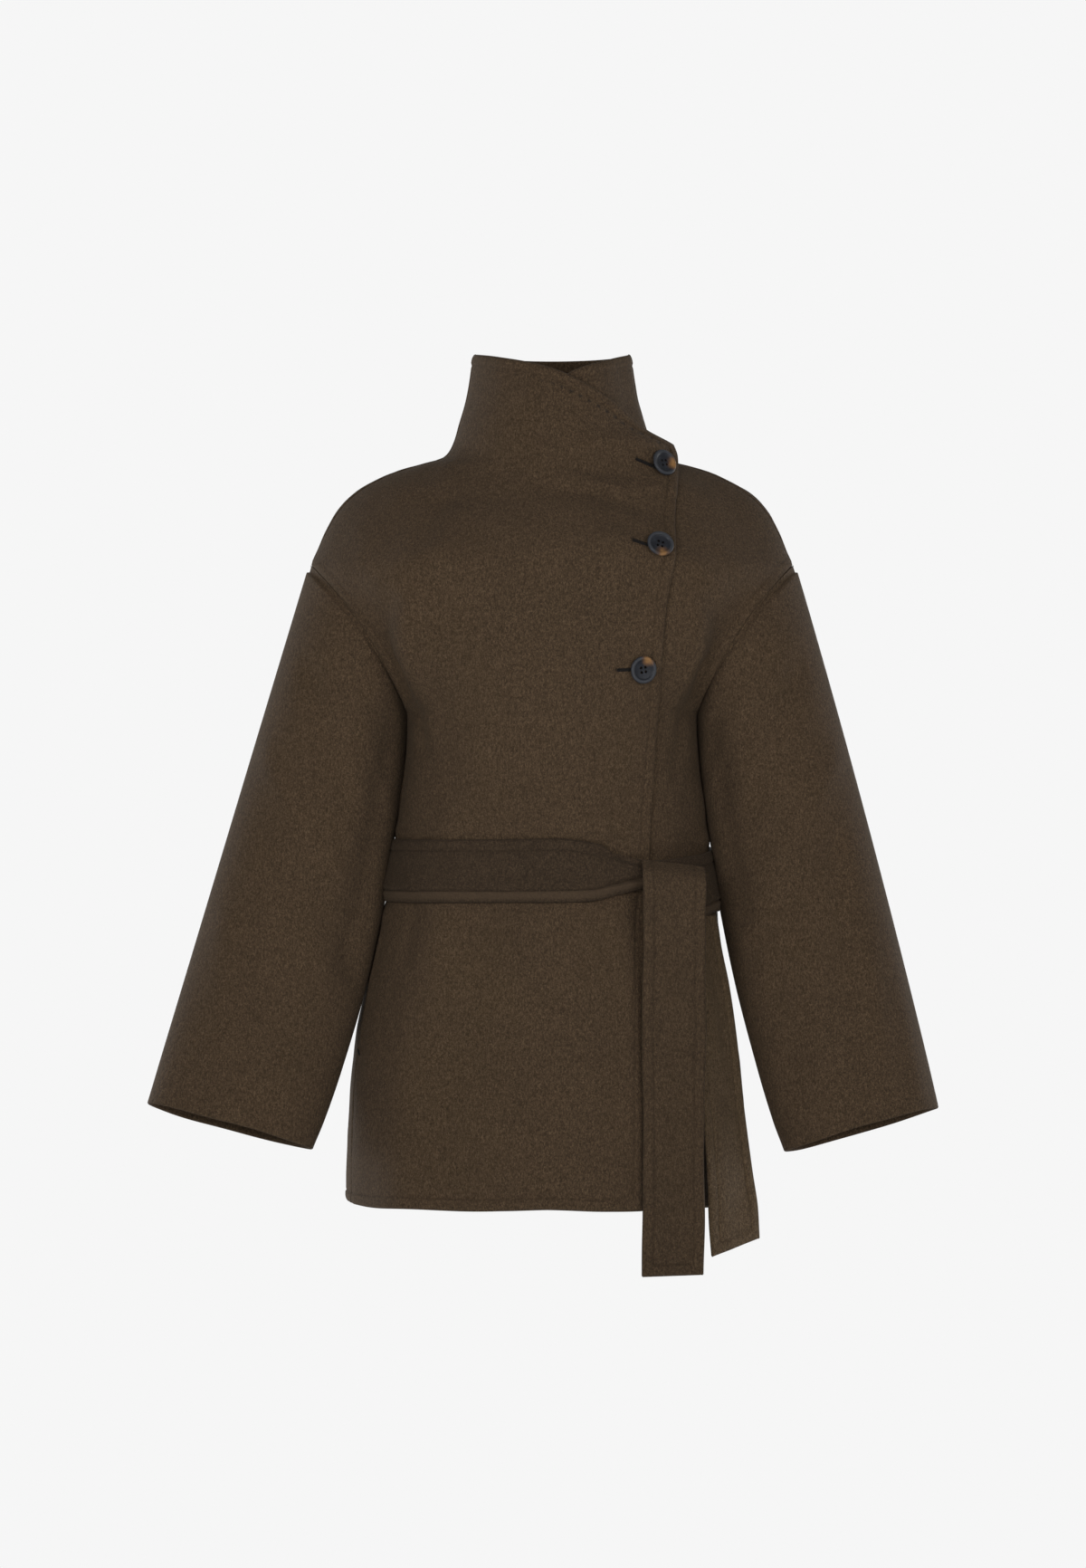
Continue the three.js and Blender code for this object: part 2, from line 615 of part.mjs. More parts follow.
// Place on a sleeve at an angle round it and a share of its length, moved out along the sleeve's section.
function sleevePlace(sleeve, angle, share, out) {
  const inner = { z: THREE.MathUtils.lerp(armhole.underZ, sleeve.cuffInner[1], share) };
  const cuffDrift = sleeve.cuffInner[0] - sleeveInnerAt(sleeve.cuffInner[1]);
  inner.x = sleeveInnerAt(inner.z) + cuffDrift * share ** 3;
  const bow = sleeve.bow * Math.sin(Math.PI * share) ** bowRoundness;
  const outerX = THREE.MathUtils.lerp(armhole.tipX, sleeve.cuffOuter[0], share) + bow;
  const outerZ = THREE.MathUtils.lerp(armhole.tipZ, sleeve.cuffOuter[1], share);
  const halfX = (outerX - inner.x) / 2;
  const halfZ = (outerZ - inner.z) / 2;
  const length = Math.hypot(halfX, halfZ);
  const sine = Math.sin(angle);
  const cosine = Math.cos(angle);
  const fullness = THREE.MathUtils.lerp(1, sleeve.cuffFullness, share);
  const depth = (sine > 0 ? sleeveFrontAt(share) : sleeveBackAt(share)) * fullness;
  const fold = foldHeight(
    sleeveFolds,
    Math.atan2(sine, cosine) / degrees,
    share,
    sleeveMillimetresPerDegree,
    sleeveLengthForFolds,
  );
  const fade = THREE.MathUtils.smoothstep(share, 0, sleeveFoldFadeIn);
  const move = out + fold * fade;
  const dip = armhole.dip * sine * sine * (1 - THREE.MathUtils.smoothstep(share, 0, armholeDipEnd));
  const reach = (length + move) * cosine;
  const x = (outerX + inner.x) / 2 + (halfX / length) * reach - dip * (halfZ / length);
  const z = (outerZ + inner.z) / 2 + (halfZ / length) * reach + dip * (halfX / length);
  const y = sleeveCentreAt(share) - (depth + move) * sine;
  const lift = sleeveLiftAt(share) * sine;
  return new THREE.Vector3(sleeve.side * x, y, z + lift);
}
const sleeveInnerAt = smoothColumn(sleeveInnerLine, "z", "x");
const sleeveFrontAt = smoothColumn(sleeveDepth, "share", "front");
const sleeveBackAt = smoothColumn(sleeveDepth, "share", "back");
const sleeveCentreAt = smoothColumn(sleeveDepth, "share", "centre");
const sleeveLiftAt = smoothColumn(sleeveDepth, "share", "lift");

function sleeveTube(sleeve) {
  const outer = [];
  const inner = [];
  for (const share of sleeveShares) {
    const outerRow = [];
    const innerRow = [];
    for (let step = 0; step < 2 * armholeSteps; step += 1) {
      const angle = (Math.PI * step) / armholeSteps;
      if (share === 0) {
        const pair = armholeSeam(step, sleeve.side, 1);
        outerRow.push(pair.outer);
        innerRow.push(pair.inner);
      } else {
        outerRow.push(sleevePlace(sleeve, angle, share, 0));
        innerRow.push(sleevePlace(sleeve, angle, share, -clothThickness));
      }
    }
    if (sleeve.side > 0) {
      outerRow.reverse();
      innerRow.reverse();
    }
    outer.push(outerRow);
    inner.push(innerRow);
  }
  return wallMesh(sleeve.name, outer, inner, wool, true);
}

const beltTopAt = smoothColumn(beltLine, "angle", "top");
const beltBottomAt = smoothColumn(beltLine, "angle", "bottom");
const beltOutAt = smoothColumn(beltLine, "angle", "out");
const beltColumns = 60;
const beltRows = 3;

function waistBelt() {
  const outer = [];
  const inner = [];
  for (let row = 0; row <= beltRows; row += 1) {
    const outerRow = [];
    const innerRow = [];
    for (let column = 0; column < beltColumns; column += 1) {
      const turned = -180 + (360 * column) / beltColumns;
      const z = THREE.MathUtils.lerp(beltTopAt(turned), beltBottomAt(turned), row / beltRows);
      const out = beltStandOff + beltOutAt(turned);
      innerRow.push(bodyPlace(turned * degrees, z, out));
      outerRow.push(bodyPlace(turned * degrees, z, out + clothThickness));
    }
    outer.push(outerRow);
    inner.push(innerRow);
  }
  return wallMesh("belt_waist", outer, inner, beltWool, true);
}

// Strip of belt cloth that hangs between a left and a right edge; slant lifts its right end.
function hangingStrip(name, edges, slant) {
  const columns = 4;
  const rowsPerSpan = 2;
  const columnsOf = ["left", "right", "leftY", "rightY"];
  const [leftAt, rightAt, leftYAt, rightYAt] = columnsOf.map((value) => smoothColumn(edges, "z", value));
  const start = edges[0].z;
  const end = edges[edges.length - 1].z;
  const outer = [];
  const inner = [];
  for (let row = 0; row <= (edges.length - 1) * rowsPerSpan; row += 1) {
    const span = Math.min(Math.floor(row / rowsPerSpan), edges.length - 2);
    const level = THREE.MathUtils.lerp(edges[span].z, edges[span + 1].z, row / rowsPerSpan - span);
    const across = new THREE.Vector3(rightAt(level) - leftAt(level), rightYAt(level) - leftYAt(level), 0);
    const behind = new THREE.Vector3(-across.y, across.x, 0).setLength(clothThickness);
    const outerRow = [];
    const innerRow = [];
    for (let column = 0; column <= columns; column += 1) {
      const share = column / columns;
      const z = level + (slant * share * (start - level)) / (start - end);
      const point = new THREE.Vector3(leftAt(level), leftYAt(level), z).addScaledVector(across, share);
      outerRow.push(point);
      innerRow.push(point.clone().add(behind));
    }
    outer.push(outerRow);
    inner.push(innerRow);
  }
  return wallMesh(name, outer, inner, beltWool);
}

// The knot is a soft pad: a sphere squared off a little and pressed to its three half sizes.
function beltKnot() {
  const geometry = new THREE.SphereGeometry(1, 16, 10);
  const position = geometry.getAttribute("position");
  const point = new THREE.Vector3();
  const squared = (value) => Math.sign(value) * Math.abs(value) ** 0.7;
  for (let i = 0; i < position.count; i += 1) {
    point.fromBufferAttribute(position, i);
    const x = squared(point.x) * knot.halfWidth;
    const y = squared(point.y) * knot.halfDepth;
    const z = squared(point.z) * knot.halfHeight;
    position.setXYZ(i, x, y, z);
  }
  const mesh = new THREE.Mesh(geometry, new THREE.MeshStandardMaterial(beltWool));
  mesh.name = "belt_knot";
  mesh.position.set(knot.x, knot.y, knot.z);
  mesh.rotation.z = knot.turn * degrees;
  return mesh;
}

// A button is turned about its axis: dished face, round rim, and the thread shank it stands on.
function coatButton(button) {
  const radius = buttonDiameter / 2;
  const base = threadShank.height;
  const profilePoints = [
    [0, 0],
    [threadShank.radius, 0],
    [threadShank.radius, base],
    [radius * 0.8, base],
    [radius * 0.97, base + buttonThickness * 0.35],
    [radius, base + buttonThickness * 0.6],
    [radius * 0.96, base + buttonThickness * 0.9],
    [radius * 0.86, base + buttonThickness],
    [radius * 0.72, base + buttonThickness * 0.9],
    [radius * 0.6, base + buttonThickness * 0.62],
    [0, base + buttonThickness * 0.5],
  ].map(([across, up]) => new THREE.Vector2(across, up));
  const turned = new THREE.LatheGeometry(profilePoints, 24);
  const mesh = new THREE.Mesh(turned, new THREE.MeshStandardMaterial(horn));
  mesh.name = button.name;
  const angle = angleAcross(button.x, button.z, flapHalfAt);
  const above = bodyNormal(angle, button.z + buttonDiameter / 3, true);
  const below = bodyNormal(angle, button.z - buttonDiameter / 3, true);
  const normal = above.add(below).normalize();
  mesh.position.copy(bodyPlace(angle, button.z, button.seat, true));
  mesh.quaternion.setFromUnitVectors(new THREE.Vector3(0, 1, 0), normal);
  return mesh;
}

const coat = new THREE.Group();
coat.add(overFront(), underFront(), backPanel(), backCollar());
coat.add(...sleeves.map(sleeveTube));
coat.add(waistBelt(), beltKnot());
coat.add(hangingStrip("belt_tail_front", frontTail, 0));
coat.add(hangingStrip("belt_tail_side", sideTail, sideTailSlant));
coat.add(...buttons.map(coatButton));

export default coat;
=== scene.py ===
"""Short wrap coat in brushed double-faced wool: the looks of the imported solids, piece by piece.

Lengths are in millimetres until a mesh is made. The front faces -Y and the wearer's left side is at +X.
"""
import math

import bpy
import numpy as np
from mathutils import Matrix, Vector


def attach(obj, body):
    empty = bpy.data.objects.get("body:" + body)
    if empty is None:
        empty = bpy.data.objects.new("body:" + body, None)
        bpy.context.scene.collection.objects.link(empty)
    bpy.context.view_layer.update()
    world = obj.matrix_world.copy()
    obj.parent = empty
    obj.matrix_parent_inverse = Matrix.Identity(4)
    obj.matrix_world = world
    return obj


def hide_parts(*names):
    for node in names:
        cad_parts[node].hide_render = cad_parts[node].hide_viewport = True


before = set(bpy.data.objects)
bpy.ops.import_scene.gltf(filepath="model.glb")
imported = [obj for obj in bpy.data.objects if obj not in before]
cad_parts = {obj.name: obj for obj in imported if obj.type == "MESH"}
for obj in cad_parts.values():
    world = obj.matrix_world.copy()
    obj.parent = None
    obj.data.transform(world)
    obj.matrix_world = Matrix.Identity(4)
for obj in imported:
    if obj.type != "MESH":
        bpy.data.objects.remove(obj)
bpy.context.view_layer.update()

# Driving dimensions
METRES = 0.001
CLOTH = 2.4
SEAM_GAP = 0.12
SEAM_TUCK = 0.5
FRONTS_APART = 1.5
UNDER_INSET = CLOTH + FRONTS_APART
HIDDEN_EDGE_INSET = 2.0
UNDER_REACH = 0.62
BELT_STAND_OFF = 1.45
HEM_LENGTH = ((0, -699), (90, -704.5), (180, -708))
HEM_FAN_START = -606
LAST_LEVEL = -714
COLLAR_TOP = 97
COLLAR_FAN_END = -50
BACK_NECK_RISE = 12
EDGE_LINE = 8.8
PICK_LINE = 13.0
PICK_SPACING = 10.0
BUTTON_RADIUS = 12.7
BUTTON_THICKNESS = 3.6
SHANK_HEIGHT = 2.0
SHANK_IN_BUTTON = 1.4
THREAD_HOLE_RADIUS = 1.35
THREAD_HOLE_OFFSET = 3.0
BUTTONHOLE_HALF_WIDTH = 1.1
BELT_LEAN = 5.5
BELT_LEAN_REACH = 46
LOWER_BAND_RISE = 3.4
LOWER_BAND_WIDTH = 8.5
SEED = 7
UNEVEN_WAVES = 9


def table(names, rows):
    """Named columns of a table of numbers."""
    return dict(zip(names.split(), np.array(rows, dtype=float).T))


# Depth of the body before and behind the side line, and how round its level sections are
profile = table("z shift front back roundness", [
    (97, 0, 74, 62, 2),
    (62, 0, 77, 64, 2),
    (30, 0, 80.5, 66, 2),
    (10, 0, 83, 69, 1.9),
    (0, 0, 84, 74, 1.7),
    (-8, 0, 84.5, 82, 1.5),
    (-20, 0, 86, 91, 1.45),
    (-50, 0, 96.5, 100, 1.6),
    (-103, 0, 114, 109, 2),
    (-170, 0, 123, 111, 2.1),
    (-205, 0, 126, 108, 2.15),
    (-243, 0, 124.5, 103, 2.2),
    (-300, 0, 119, 94, 2.2),
    (-345, 0, 113, 87.5, 2.2),
    (-394, -1, 108.5, 84, 2.2),
    (-430, -2, 114, 87, 2.2),
    (-500, -5, 124, 99, 2.2),
    (-606, -5.5, 134, 113, 2.2),
    (-714, -5.5, 141, 120, 2.2),
])
shoulder_widths = [
    (97, 74.5), (62, 80), (30, 88), (10, 94.5), (0, 101.5), (-4, 111), (-8, 127), (-13.5, 147),
    (-21, 165), (-33, 186), (-50, 203), (-70, 214.5), (-88, 222),
]
body_widths = [
    (-270, 138), (-300, 141), (-332, 145.5), (-363, 147.5), (-394, 151.5), (-425, 156.5), (-455, 163),
    (-500, 171.5), (-550, 180.5), (-606, 187), (-660, 189), (-714, 189.5),
]
flap_widths = [
    (97, 74.5), (75, 79), (50, 88), (23, 101), (10, 121), (-1, 133), (-16, 156), (-33, 187),
    (-50, 204), (-70, 214.5),
]
front_edge = [
    (9.5, 115), (-1, 118.5), (-16, 118.5), (-87, 112.4), (-155, 104), (-255, 97.2), (-376, 90),
    (-560, 86), (-714, 83.4),
]
collar_top = [(0, 97), (0.3, 88), (0.58, 74), (0.78, 50.5), (0.93, 24), (1, 9.5)]
side_seam_swing = [(-243, 90), (-300, 84), (-394, 78), (-714, 74)]

TIP = (228.5, -103)
UNDERARM = (138, -243)
ARMHOLE_DIP = 9.5
ARMHOLE_FRONT = 62
ARMHOLE_BACK = 68
ARMHOLE_TABLE_STEPS = 10
ARMHOLE_ROWS = 44

# Sleeves: inner line beside the body, and depth before and behind the sleeve's own centre line
sleeve_inner_line = [
    (-243, 138), (-268, 139.6), (-300, 142.4), (-345, 148.4), (-366, 152.2), (-395, 156.4), (-426, 161),
    (-503, 178), (-580, 200.5), (-625, 216), (-650, 226.5),
]
sleeve_depth = table("share front back centre lift", [
    (0, 62, 68, 0, 0),
    (0.14, 59, 63, -5, 0),
    (0.35, 55, 56, -15, 2),
    (0.6, 49, 50, -28, 5),
    (0.8, 44, 45, -41, 7),
    (1, 39, 39, -57, 8),
])
sleeves = [
    {"name": "sleeve_right", "side": -1, "full": 1, "outer": (376, -609), "inner": (226, -650), "bow": 0.6},
    {
        "name": "sleeve_left", "side": 1, "full": 1.12,
        "outer": (358.5, -613), "inner": (219, -653), "bow": 4.6,
    },
]
BOW_ROUNDNESS = 0.7
SLEEVE_FOLD_FADE = 0.13
ARMHOLE_DIP_END = 0.2

# Folds of the body, each along a line between two places given by angle round the body and height
FOLD_NAMES = "angle_a z_a angle_b z_b width height"
main_body_folds = [
    (-33, -95, -60, -262, 20, 6),
    (-50, -150, -68, -225, 16, -5),
    (36, -110, 60, -262, 20, 6),
    (52, -150, 68, -225, 16, -5),
    (-6, -28, 34, -56, 13, -3.5),
    (-30, -60, 22, -88, 16, 2.5),
    (-50, -16, -22, -24, 16, -2),
    (-24, -300, -40, -352, 18, 3),
    (16, -305, 8, -352, 18, 2.5),
    (-38, -440, -46, -700, 24, 4),
    (-20, -450, -26, -690, 24, -3),
    (4, -440, 2, -650, 26, 3),
    (52, -450, 60, -700, 22, -4),
    (-150, -130, -142, -350, 20, 5),
    (176, -110, 178, -345, 26, -5),
    (148, -130, 141, -350, 20, 5),
    (-122, -290, -126, -352, 15, -4),
    (124, -285, 121, -352, 15, -4),
    (-140, -440, -134, -705, 24, 6),
    (-164, -445, -167, -705, 22, -4),
    (172, -455, 170, -705, 24, 5),
    (136, -440, 130, -705, 24, 6),
]
fine_body_folds = [
    (2, -14, 33, -24, 7, -2.4),
    (17, -42, 27, -54, 7, -2.0),
    (16, -32, 30, -36, 5, 1.3),
    (33, -30, 42, -37, 5, 1.3),
    (20, -70, 26, -84, 8, -1.7),
    (-36, -50, -33, -86, 10, -2.8),
    (-25, -74, -21, -96, 9, -1.7),
    (-5, -80, 2, -106, 12, 2.0),
    (-54, -8, -41, -26, 5, 1.4),
    (-26, -100, 24, -98, 24, 3.6),
    (-44, -46, 38, -38, 12, -2.5),
    (-12, 52, 8, 24, 20, 2.4),
    (-57, -205, -60, -275, 12, -4.5),
    (57, -205, 60, -275, 12, -3.5),
    (-42, -140, -66, -222, 8, -3.5),
    (-34, -140, -56, -228, 8, 2.6),
    (42, -140, 66, -222, 8, -3),
    (34, -140, 56, -228, 8, 2.2),
    (30, -432, 31, -705, 12, -4),
    (-96, -355, -76, -355, 8, 2.6),
    (76, -361, 96, -361, 9, 3),
    (-96, -433, -76, -433, 9, 1.8),
    (76, -431, 96, -431, 8, 1.4),
    (40, -62, 50, -110, 10, 1.2),
    (-58, -70, -46, -120, 12, 1.4),
    (-64, -240, -52, -300, 9, -1.6),
    (64, -240, 54, -300, 9, -1.6),
    (-30, -330, -34, -360, 6, -1.4),
    (-8, -336, -12, -360, 7, -1.1),
    (20, -338, 24, -372, 6, -1.3),
    (-52, -424, -50, -470, 8, -1.3),
    (-12, -424, -14, -476, 9, -1.0),
    (14, -424, 15, -500, 8, -1.2),
    (-165, -300, -170, -352, 8, -1.8),
    (-140, -310, -136, -352, 7, -1.6),
    (160, -306, 158, -352, 8, -1.8),
    (-152, -424, -150, -500, 8, -1.8),
    (154, -424, 152, -510, 8, -1.8),
    (118, -424, 114, -520, 10, -1.6),
    (-112, -424, -110, -520, 10, -1.6),
    (-110, -60, -128, -120, 14, 1.8),
    (112, -60, 130, -120, 14, 1.8),
]
body_folds = table(FOLD_NAMES, main_body_folds + fine_body_folds)
BODY_MM_PER_DEGREE = 2.3

# Folds of a sleeve, by angle round it (0 outside, 90 front, 180 underarm) and share of its length
main_sleeve_folds = [
    (60, 0.16, 110, 0.3, 15, -3.5),
    (40, 0.34, 110, 0.44, 15, 2.5),
    (70, 0.5, 130, 0.56, 16, -3),
    (50, 0.66, 80, 0.95, 18, 3),
    (-60, 0.42, -120, 0.5, 18, 4),
    (-60, 0.54, -125, 0.6, 16, -3.5),
    (-90, 0.12, -80, 0.34, 20, -4),
]
right_sleeve_folds = [
    (138, 0.08, 142, 0.62, 17, -6.5),
    (100, 0.12, 150, 0.22, 9, 1.6),
    (96, 0.46, 150, 0.52, 9, -1.4),
    (80, 0.6, 140, 0.64, 10, 1.3),
    (100, 0.78, 60, 0.84, 12, -1.2),
    (120, 0.84, 130, 0.98, 12, 1.4),
]
left_sleeve_folds = [
    (138, 0.08, 142, 0.5, 15, -4.5),
    (104, 0.1, 154, 0.18, 9, 1.6),
    (60, 0.48, 84, 0.94, 9, -3.4),
    (86, 0.5, 110, 0.9, 10, 2.6),
    (120, 0.6, 134, 0.9, 11, -1.6),
    (30, 0.66, 40, 0.96, 12, 1.4),
]
SLEEVE_MM_PER_DEGREE = 1.1
SLEEVE_MM_PER_SHARE = 500
UNDERARM_SEAM_ANGLE = 152

# Belt edges and stand-off by angle round the body, then the creases that run into the knot
belt_line = table("angle top bottom out", [
    (-180, -362, -420, 0.5),
    (-80, -363, -421, 0),
    (-10, -362, -419, 0),
    (3, -361, -419, 0.3),
    (10, -363.5, -418.5, 0.8),
    (15.5, -367, -416.5, 1.8),
    (20, -375, -413.5, 2.6),
    (27, -379.5, -409.5, 3.8),
    (34, -382, -406.5, 4.6),
    (46, -381, -416, 4.2),
    (54, -379, -434, 3.4),
    (62, -378, -434, 2),
    (72, -376, -431, 0.8),
    (90, -372, -430, 0),
    (130, -366, -424, 0),
    (180, -362, -420, 0.5),
])
belt_folds = table(FOLD_NAMES, [
    (14, -371, 24, -380, 2.4, -3.2),
    (24, -380, 33, -388, 2.4, -2.6),
    (6, -368, 18, -374, 4, 1.6),
    (14, -381, 29, -391, 5, 1.8),
    (18, -404, 33, -397, 2.2, -3.0),
    (12, -412, 33, -402, 3, 1.5),
    (-2, -396, 26, -393, 6, -0.8),
    (-60, -380, -20, -398, 9, 0.7),
    (56, -392, 66, -420, 5, -1.2),
    (100, -380, 140, -400, 9, 0.8),
    (-150, -386, -110, -396, 9, -0.8),
])

# Belt tails: left and right edges by height
front_tail = table("z left right left_y right_y", [
    (-380, 83.5, 140.5, -107, -92),
    (-389, 84, 141.5, -118, -103),
    (-405, 84.3, 142, -122, -107),
    (-430, 84.3, 141.5, -121, -106),
    (-470, 84.2, 141, -119, -104),
    (-560, 83.8, 140.3, -123, -108),
    (-650, 83.5, 139.5, -131, -116),
    (-714, 83.5, 139.5, -135, -120),
    (-760, 83, 138.5, -137, -122),
])
side_tail = table("z left right left_y right_y", [
    (-434, 113, 154, -86, -39.5),
    (-470, 120.5, 160.5, -90, -44),
    (-500, 127, 166, -92, -47),
    (-560, 135.5, 174, -93.5, -48),
    (-620, 141.5, 180, -94.5, -50),
    (-680, 145.5, 187, -95, -53),
    (-715, 147, 192, -95, -57),
    (-747, 149.5, 194.5, -94, -57),
])
SIDE_TAIL_SLANT = 12.5
KNOT_CENTRE = (109, -101.5, -410)
KNOT_HALF = (24, 7.5, 18)
KNOT_TURN = 25

# Buttons: place, seat on the cloth, and where the amber patch lies on the face
buttons = [
    {"name": "button_top", "x": 102.5, "z": -11, "seat": 1.3, "patch": (0.75, 0.1), "turn": 0.3},
    {"name": "button_middle", "x": 96.5, "z": -91, "seat": 0.5, "patch": (0.15, -0.8), "turn": -0.2},
    {"name": "button_lower", "x": 82.5, "z": -205.3, "seat": -0.2, "patch": (0.35, 0.75), "turn": 0.15},
]
buttonholes = [
    {"name": "top", "left": (79, -7.5), "right": (97, -14.5)},
    {"name": "middle", "left": (73.5, -86.5), "right": (92, -92.5)},
    {"name": "lower", "left": (60.5, -206), "right": (80, -205)},
]


# Curves, folds and the coat's surface

def smooth_curve(places, values):
    """Smooth curve through points, going on straight past its ends."""
    places = np.asarray(places, dtype=float)
    values = np.asarray(values, dtype=float)
    last = len(places) - 1
    index = np.arange(last + 1)
    before = np.maximum(index - 1, 0)
    after = np.minimum(index + 1, last)
    slopes = (values[after] - values[before]) / (places[after] - places[before])
    direction = np.sign(places[-1] - places[0])

    def at(place):
        place = np.asarray(place, dtype=float)
        i = np.clip(np.searchsorted(places * direction, place * direction, side="right") - 1, 0, last - 1)
        span = places[i + 1] - places[i]
        t = (place - places[i]) / span
        blend = t * t * (3 - 2 * t)
        bend = t * (1 - t) * span * ((1 - t) * slopes[i] - t * slopes[i + 1])
        inside = values[i] + (values[i + 1] - values[i]) * blend + bend
        start = values[0] + slopes[0] * (place - places[0])
        end = values[-1] + slopes[-1] * (place - places[-1])
        past_end = (place - places[-1]) * direction >= 0
        return np.where((place - places[0]) * direction <= 0, start, np.where(past_end, end, inside))

    return at


def curve_of(pairs):
    places, values = zip(*pairs)
    return smooth_curve(places, values)


def table_curves(columns):
    """A smooth curve for each column of a table, over its first column."""
    places, *others = columns
    return {name: smooth_curve(columns[places], columns[name]) for name in others}


def smoothstep(low, high, value):
    t = np.clip((value - low) / (high - low), 0, 1)
    return t * t * (3 - 2 * t)


def bell(value, width):
    return np.exp(-((value / width) ** 2))


def lerp(start, end, share):
    return start + (end - start) * share


def fold_height(folds, across, along, across_scale, along_scale):
    """Height of all soft folds at a place, from its distance to each fold's line."""
    height = np.zeros(np.broadcast(across, along).shape)
    px = across * across_scale
    pz = along * along_scale
    for ax, az, bx, bz, width, rise in zip(*folds.values()):
        run_x = (bx - ax) * across_scale
        run_z = (bz - az) * along_scale
        from_x = px - ax * across_scale
        from_z = pz - az * along_scale
        held = np.clip((from_x * run_x + from_z * run_z) / (run_x ** 2 + run_z ** 2), 0, 1)
        distance = np.hypot(from_x - held * run_x, from_z - held * run_z)
        height = height + rise * bell(distance, width)
    return height


def armhole_point(angle):
    """Place on the armhole: 0 at the shoulder tip, 90 degrees in front, 180 at the underarm, 270 behind."""
    angle = np.asarray(angle, dtype=float)
    share = (1 - np.cos(angle)) / 2
    along_x = UNDERARM[0] - TIP[0]
    along_z = UNDERARM[1] - TIP[1]
    length = math.hypot(along_x, along_z)
    dip = ARMHOLE_DIP * np.sin(angle) ** 2
    depth = np.where(np.sin(angle) > 0, ARMHOLE_FRONT, ARMHOLE_BACK)
    x = TIP[0] + along_x * share + along_z / length * dip
    z = TIP[1] + along_z * share - along_x / length * dip
    return np.stack([x, -depth * np.sin(angle), z], axis=-1)


shift_at, front_depth_at, back_depth_at, roundness_at = table_curves(profile).values()
seam_swing_at = curve_of(side_seam_swing)
collar_top_at = curve_of(collar_top)
front_edge_at = curve_of(front_edge)
hem_at = curve_of(HEM_LENGTH)


def widths_with_armhole(side, depth_at):
    """Half widths whose sections pass through the armhole's edge."""
    places = armhole_point(side * np.linspace(0, math.pi, ARMHOLE_TABLE_STEPS + 1))
    power = roundness_at(places[:, 2])
    share = np.abs(places[:, 1]) / depth_at(places[:, 2])
    halves = places[:, 0] / (1 - share ** power) ** (1 / power)
    return curve_of(shoulder_widths + list(zip(places[:, 2], halves)) + body_widths)


front_half_at = widths_with_armhole(1, front_depth_at)
back_half_at = widths_with_armhole(-1, back_depth_at)
flap_curve = curve_of(flap_widths)


def flap_half_at(z):
    return np.where(z > flap_widths[-1][0], flap_curve(z), front_half_at(z))


def body_surface(angle, z, flap=False):
    """Place on the coat's outer surface at an angle round the body and a height."""
    sine = np.sin(angle)
    cosine = np.cos(angle)
    ahead = cosine >= 0
    power = 2 / roundness_at(z)
    half = np.where(ahead, front_half_at(z), back_half_at(z))
    if flap:
        half = np.where(ahead & (angle > 0), flap_half_at(z), half)
    depth = np.where(ahead, front_depth_at(z), back_depth_at(z))
    turned = np.degrees(np.arctan2(sine, cosine))
    fold = fold_height(body_folds, turned, z, BODY_MM_PER_DEGREE, 1)
    x = shift_at(z) + np.sign(sine) * half * np.abs(sine) ** power + fold * sine
    y = -np.sign(cosine) * depth * np.abs(cosine) ** power - fold * cosine
    return np.stack(np.broadcast_arrays(x, y, z), axis=-1)


def unit(vectors):
    return vectors / np.maximum(np.linalg.norm(vectors, axis=-1, keepdims=True), 1e-9)


def body_normal(angle, z, flap=False):
    step = 0.004
    rise = 0.5
    around = body_surface(angle + step, z, flap) - body_surface(angle - step, z, flap)
    up = body_surface(angle, z + rise, flap) - body_surface(angle, z - rise, flap)
    return unit(np.cross(around, up))


def body_place(angle, z, out, flap=False):
    return body_surface(angle, z, flap) + body_normal(angle, z, flap) * np.asarray(out)[..., None]


def angle_across(x, z, half_at, reach=0.97):
    """Angle at which the surface in front is this far across."""
    share = np.clip((x - shift_at(z)) / half_at(z), -reach, reach)
    return np.sign(share) * np.arcsin(np.abs(share) ** (roundness_at(z) / 2))


rng = np.random.default_rng(SEED)


def unevenness(points, wavelength, amplitude):
    """Soft unevenness of hung cloth, as a sum of waves in seeded directions."""
    total = np.zeros(points.shape[:-1])
    for _ in range(UNEVEN_WAVES):
        direction = rng.normal(size=3)
        direction /= np.linalg.norm(direction)
        length = wavelength * rng.uniform(0.7, 1.5)
        phase = rng.uniform(0, 2 * math.pi)
        total += np.sin(points @ direction * 2 * math.pi / length + phase)
    return amplitude * total / math.sqrt(UNEVEN_WAVES)


# Mesh making, with a far value for points that lie near no worked edge

FAR = 99.0


def border_distance(points, border):
    """Distance from each point to a line of points, and the length run along that line."""
    steps = np.linalg.norm(np.diff(border, axis=0), axis=1)
    runs = np.concatenate([[0], np.cumsum(steps)])
    flat = points.reshape(-1, 3)
    best = np.full(len(flat), 1e9)
    run = np.zeros(len(flat))
    for i, step in enumerate(steps):
        if step < 1e-6:
            continue
        along = (border[i + 1] - border[i]) / step
        offset = flat - border[i]
        held = np.clip(offset @ along, 0, step)
        distance = np.linalg.norm(offset - held[:, None] * along, axis=1)
        nearer = distance < best
        best[nearer] = distance[nearer]
        run[nearer] = runs[i] + held[nearer]
    return best.reshape(points.shape[:-1]), run.reshape(points.shape[:-1])


def ring_distance(points, row):
    """Distance from each point of a closed grid to one of its rows, and the length run round it."""
    return border_distance(points, np.concatenate([points[row], points[row][:1]]))


def tube_normals(points):
    """Normals of a grid whose rows are closed rings."""
    wide = np.concatenate([points[:, -1:], points, points[:, :1]], axis=1)
    return unit(np.cross(np.gradient(points, axis=0), wide[:, 2:] - wide[:, :-2]))


def raise_by(amount, *grids):
    for grid in grids:
        grid[..., 2] += amount


